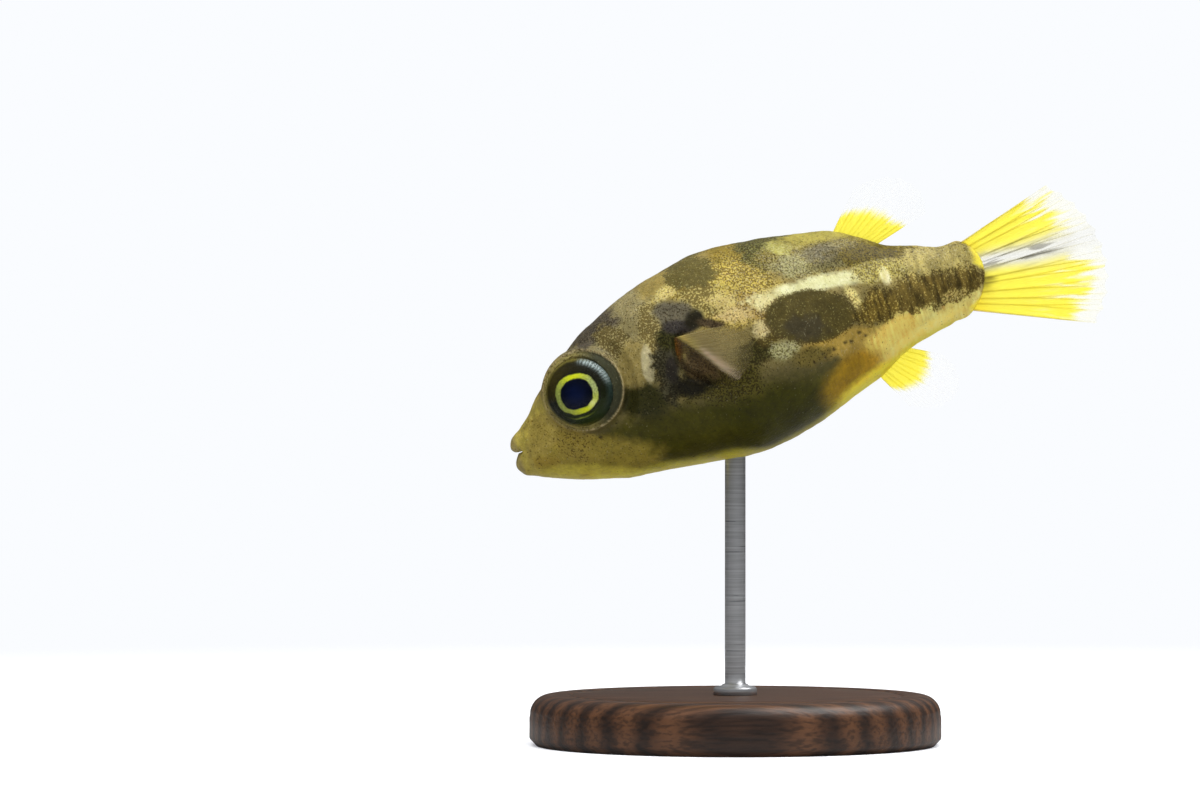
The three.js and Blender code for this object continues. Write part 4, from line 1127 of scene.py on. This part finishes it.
def build_rays(name, kind, swing, tree, material):
    """A fin's branching rays, which follow its web."""
    fin = FINS[kind]
    start = ROOT_SINK * 0.5 / (fin["reach"][1] + ROOT_SINK)
    g = np.linspace(start, 0.985, RAY_POINTS)
    strength, cover = (1.0, 0.9) if kind == "caudal_fin" else (0.65, 0.6)
    forks = (0,) if kind == "pectoral_fin" else (-1, 1)
    lines, lanes, tints, covers = [], [], [], []
    for ray in range(fin["rays"] + 1):
        for way in forks:
            spread = FORK_SPREAD * way * smooth(0.35, 0.95, g)
            uneven = RAY_UNEVEN * math.sin(2.4 * ray)
            f = np.clip((ray + uneven + spread) / fin["rays"], 0, 1)
            line, along = fin_points(fin, f, g, swing)
            lane = np.stack([f * fin["rays"], along, 0 * f], -1)
            tint, solid, dyed = paint_fin(kind, f, g, lane)
            lines.append(line)
            lanes.append(lane)
            tints.append(ray_tint(kind, f, g, tint))
            covers.append(np.stack([(solid * cover).clip(0.03, 0.95), 0 * dyed, g], -1))
    mesh = bpy.data.meshes.new(name)
    edges = [(i, i + 1) for i in range(len(lines) * RAY_POINTS) if (i + 1) % RAY_POINTS]
    mesh.from_pydata(to_world(np.concatenate(lines)).tolist(), edges, [])
    thick = np.tile((RAY_ROOT + (RAY_TIP - RAY_ROOT) * g) * strength * MM, len(lines))
    mesh.attributes.new("thickness", "FLOAT", "POINT").data.foreach_set("value", thick.astype(np.float32))
    holder = show(bpy.data.objects.new(name, mesh))
    store(holder, coat=tints, marks=covers, fin_place=lanes)
    return made_by_nodes(holder, tree, {"Sides": RAY_SIDES, "Swell": 1.0, "Material": material})


def ray_tint(kind, f, g, tint):
    """The rays' own colour: a deeper tone of the web, and dark streaks in the tail's middle."""
    if kind != "caudal_fin":
        return tint
    streak = bell(f, 0.39, 0.11) * (1 - smooth(0.5, 0.85, g)) * 0.85
    return lay(tint * (0.8, 0.76, 0.45), TAIL_RAY_INK, streak)


# ---- Stand ----

def on_base(flat):
    """Places of the stand, from millimetres round its axis."""
    return (flat + (BASE_X, 0, 0)) * MM


def build_base(material):
    """The turned base: a flat disc with a rounded shoulder and a shallow ring groove."""
    r, h = BASE_RADIUS, BASE_HEIGHT
    shoulder = np.linspace(0.1, math.pi / 2, 14)
    profile = [(0, 0), (r - 0.35, 0), (r - 0.3, 0.0), (r - 0.02, 0.3), (r, 0.36)]
    profile += [(r, h - 1.0), (r - 0.03, h - 0.85)]
    profile += [(r - 0.85 + 0.82 * math.cos(a), h - 0.82 + 0.82 * math.sin(a)) for a in shoulder]
    profile += [(r - 1.6, h), (r - 1.66, h - 0.05), (r - 1.75, h - 0.08), (r - 1.84, h - 0.05)]
    profile += [(r - 1.9, h), (r - 4, h), (r - 7, h), (0, h)]
    return turned_object("stand_base_turned", profile, BASE_STEPS, on_base, material)[0]


def build_rod(material):
    """The upright rod with the small collar that it stands in."""
    r, h = ROD_RADIUS, BASE_HEIGHT
    profile = [(0, ROD_SEAT), (r, ROD_SEAT), (r, h - 0.01), (0.95, h - 0.01), (0.95, h + 0.26)]
    profile += [(0.88, h + 0.35), (0.62, h + 0.4), (0.56, h + 0.46), (r, h + 0.5)]
    profile += [(r, z) for z in np.linspace(h + 1, ROD_TOP - 0.2, 20)]
    profile += [(r * 0.9, ROD_TOP - 0.05), (r * 0.6, ROD_TOP), (0, ROD_TOP)]
    return turned_object("stand_rod_turned", profile, ROD_STEPS, on_base, material)[0]


# ---- Studio ----

CAMERA_LENS = 171.6
CAMERA_AT = (-9.11, -250, 15.08)  # in millimetres
SURROUND = "#fafcff"
FLOOR_RADII = (15, 30, 60, 120, 240)
FLOOR_STEPS = 96


def add_camera():
    """A level camera square to the left flank."""
    lens = bpy.data.cameras.new("camera")
    lens.sensor_width = 36
    lens.lens = CAMERA_LENS
    lens.clip_start = 0.005
    lens.clip_end = 5
    camera = show(bpy.data.objects.new("camera", lens))
    camera.location = Vector(CAMERA_AT) * MM
    camera.rotation_euler = (math.pi / 2, 0, 0)
    bpy.context.scene.camera = camera


def add_light(name, place, target, size, watts, mirrored=False):
    """A square softbox that faces its target, and that gloss may mirror. Places are in millimetres."""
    box = bpy.data.lights.new(name, "AREA")
    box.size = size * MM
    box.energy = watts
    light = show(bpy.data.objects.new(name, box))
    light.visible_glossy = mirrored
    light.location = Vector(place) * MM
    light.rotation_euler = (Vector(target) - Vector(place)).to_track_quat("-Z", "Y").to_euler()


def add_studio():
    """A white surround and soft lights from above, from the front and from behind."""
    world = bpy.data.worlds.new("studio")
    world.use_nodes = True
    tree = world.node_tree
    tree.nodes.clear()
    seen = add(tree, "ShaderNodeBackground", {"Color": linear(SURROUND), "Strength": 1.0})
    way = add(tree, "ShaderNodeTexCoord").outputs["Generated"]
    up = add(tree, "ShaderNodeSeparateXYZ", {0: way}).outputs["Z"]
    level = add(tree, "ShaderNodeMath", {0: up, 1: 0.5, 2: 0.5}, operation="MULTIPLY_ADD")
    sky = ((0.3, "#383838"), (0.5, "#7c7c7c"), (0.8, "#ffffff"))
    glow = add(tree, "ShaderNodeValToRGB", {"Fac": level}, sky)
    ambient = add(tree, "ShaderNodeBackground", {"Color": glow, "Strength": 0.3})
    pick = add(tree, "ShaderNodeLightPath").outputs["Is Camera Ray"]
    mix = add(tree, "ShaderNodeMixShader", {0: pick, 1: ambient, 2: seen})
    add(tree, "ShaderNodeOutputWorld", {"Surface": mix})
    bpy.context.scene.world = world
    # The surround stays white and the fins stay yellow.
    bpy.context.scene.view_settings.view_transform = "Standard"

    add_light("key", (-60, -130, 220), (-2, 0, 16), 240, 0.5)
    add_light("top", (90, 10, 200), (0, 0, 16), 160, 0.4, mirrored=True)
    add_light("fill", (60, -240, 60), (0, 0, 16), 200, 0.17)
    add_light("back", (40, 220, 34), (6, 0, 20), 160, 0.6)


def build_floor():
    """A pale floor that fades into the surround."""
    angle = np.arange(FLOOR_STEPS) * 2 * math.pi / FLOOR_STEPS
    points = [(0, 0, 0)] + [(r * math.cos(a), r * math.sin(a), 0) for r in FLOOR_RADII for a in angle]
    faces = [tuple(i + 1 for i in face[::-1]) for face in grid_faces(len(FLOOR_RADII), FLOOR_STEPS, True)]
    faces += [(0, 1 + c, 1 + (c + 1) % FLOOR_STEPS) for c in range(FLOOR_STEPS)]
    material, tree = new_material("matt_white_sweep")
    place = add(tree, "ShaderNodeTexCoord").outputs["Object"]
    reach = add(tree, "ShaderNodeVectorMath", {0: place}, operation="LENGTH")
    fade = add(tree, "ShaderNodeMapRange", {"Value": reach, "From Min": 25 * MM, "From Max": 110 * MM},
               interpolation_type="SMOOTHSTEP")
    # The paper's tooth, about 1 mm.
    grain = add(tree, "ShaderNodeTexNoise", {"Vector": place, "Scale": 900.0, "Detail": 3.0})
    paper = add(tree, "ShaderNodeValToRGB", {"Fac": grain}, ((0.3, "#e9eaec"), (0.7, "#f4f5f6")))
    matt = add(tree, "ShaderNodeBsdfDiffuse", {"Color": paper, "Roughness": 0.8})
    lit = add(tree, "ShaderNodeEmission", {"Color": linear("#f6f8ff"), "Strength": 0.35})
    both = add(tree, "ShaderNodeAddShader", {0: matt, 1: lit})
    # The floor that the fish is lit by is a duller white than the one seen.
    seen = add(tree, "ShaderNodeLightPath").outputs["Is Camera Ray"]
    dim = add(tree, "ShaderNodeBsdfDiffuse", {"Color": linear("#b4b4b4")})
    shown = add(tree, "ShaderNodeMixShader", {0: seen, 1: dim, 2: both})
    gone = add(tree, "ShaderNodeBsdfTransparent")
    surfaced(material, add(tree, "ShaderNodeMixShader", {0: fade, 1: shown, 2: gone}))
    mesh_object("studio_floor", np.array(points) * MM, faces, material)


# ---- Assembly ----

def finish_piece(piece, slot, *nodes):
    """Ties a piece to the body and hides the nodes that it stands for. The slot is not used."""
    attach(piece, "root")
    if nodes:
        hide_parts(*nodes)


add_camera()
add_studio()
build_floor()

finish_piece(build_skin(puffer_skin()), "skin", "snout", "head", "trunk", "tail_stalk")

iris, cornea = iris_paint(), cornea_glass()
for name, side in (("eye_left", -1), ("eye_right", 1)):
    ball, shell = build_eye(name + "_glass", side, iris, cornea)
    finish_piece(ball, "eye", name)
    finish_piece(shell, "eye")

yellow_web, smoky_web, ray_resin = fin_web("yellow_fin_web"), fin_web("smoky_fin_web"), fin_ray()
rays = ray_tree()
for name, kind, swing in (("dorsal_fin", "dorsal_fin", straight), ("anal_fin", "anal_fin", straight),
                          ("caudal_fin", "caudal_fin", straight),
                          ("pectoral_fin_left", "pectoral_fin", swing_out(-1)),
                          ("pectoral_fin_right", "pectoral_fin", swing_out(1))):
    web = smoky_web if kind == "pectoral_fin" else yellow_web
    slot = "fin_clear" if kind == "pectoral_fin" else "fin_yellow"
    finish_piece(build_web(name + "_web", kind, swing, web), slot, name)
    finish_piece(build_rays(name + "_rays", kind, swing, rays, ray_resin), slot)

finish_piece(build_base(walnut()), "base_wood", "stand_base")
finish_piece(build_rod(brushed_steel()), "rod_steel", "stand_rod")
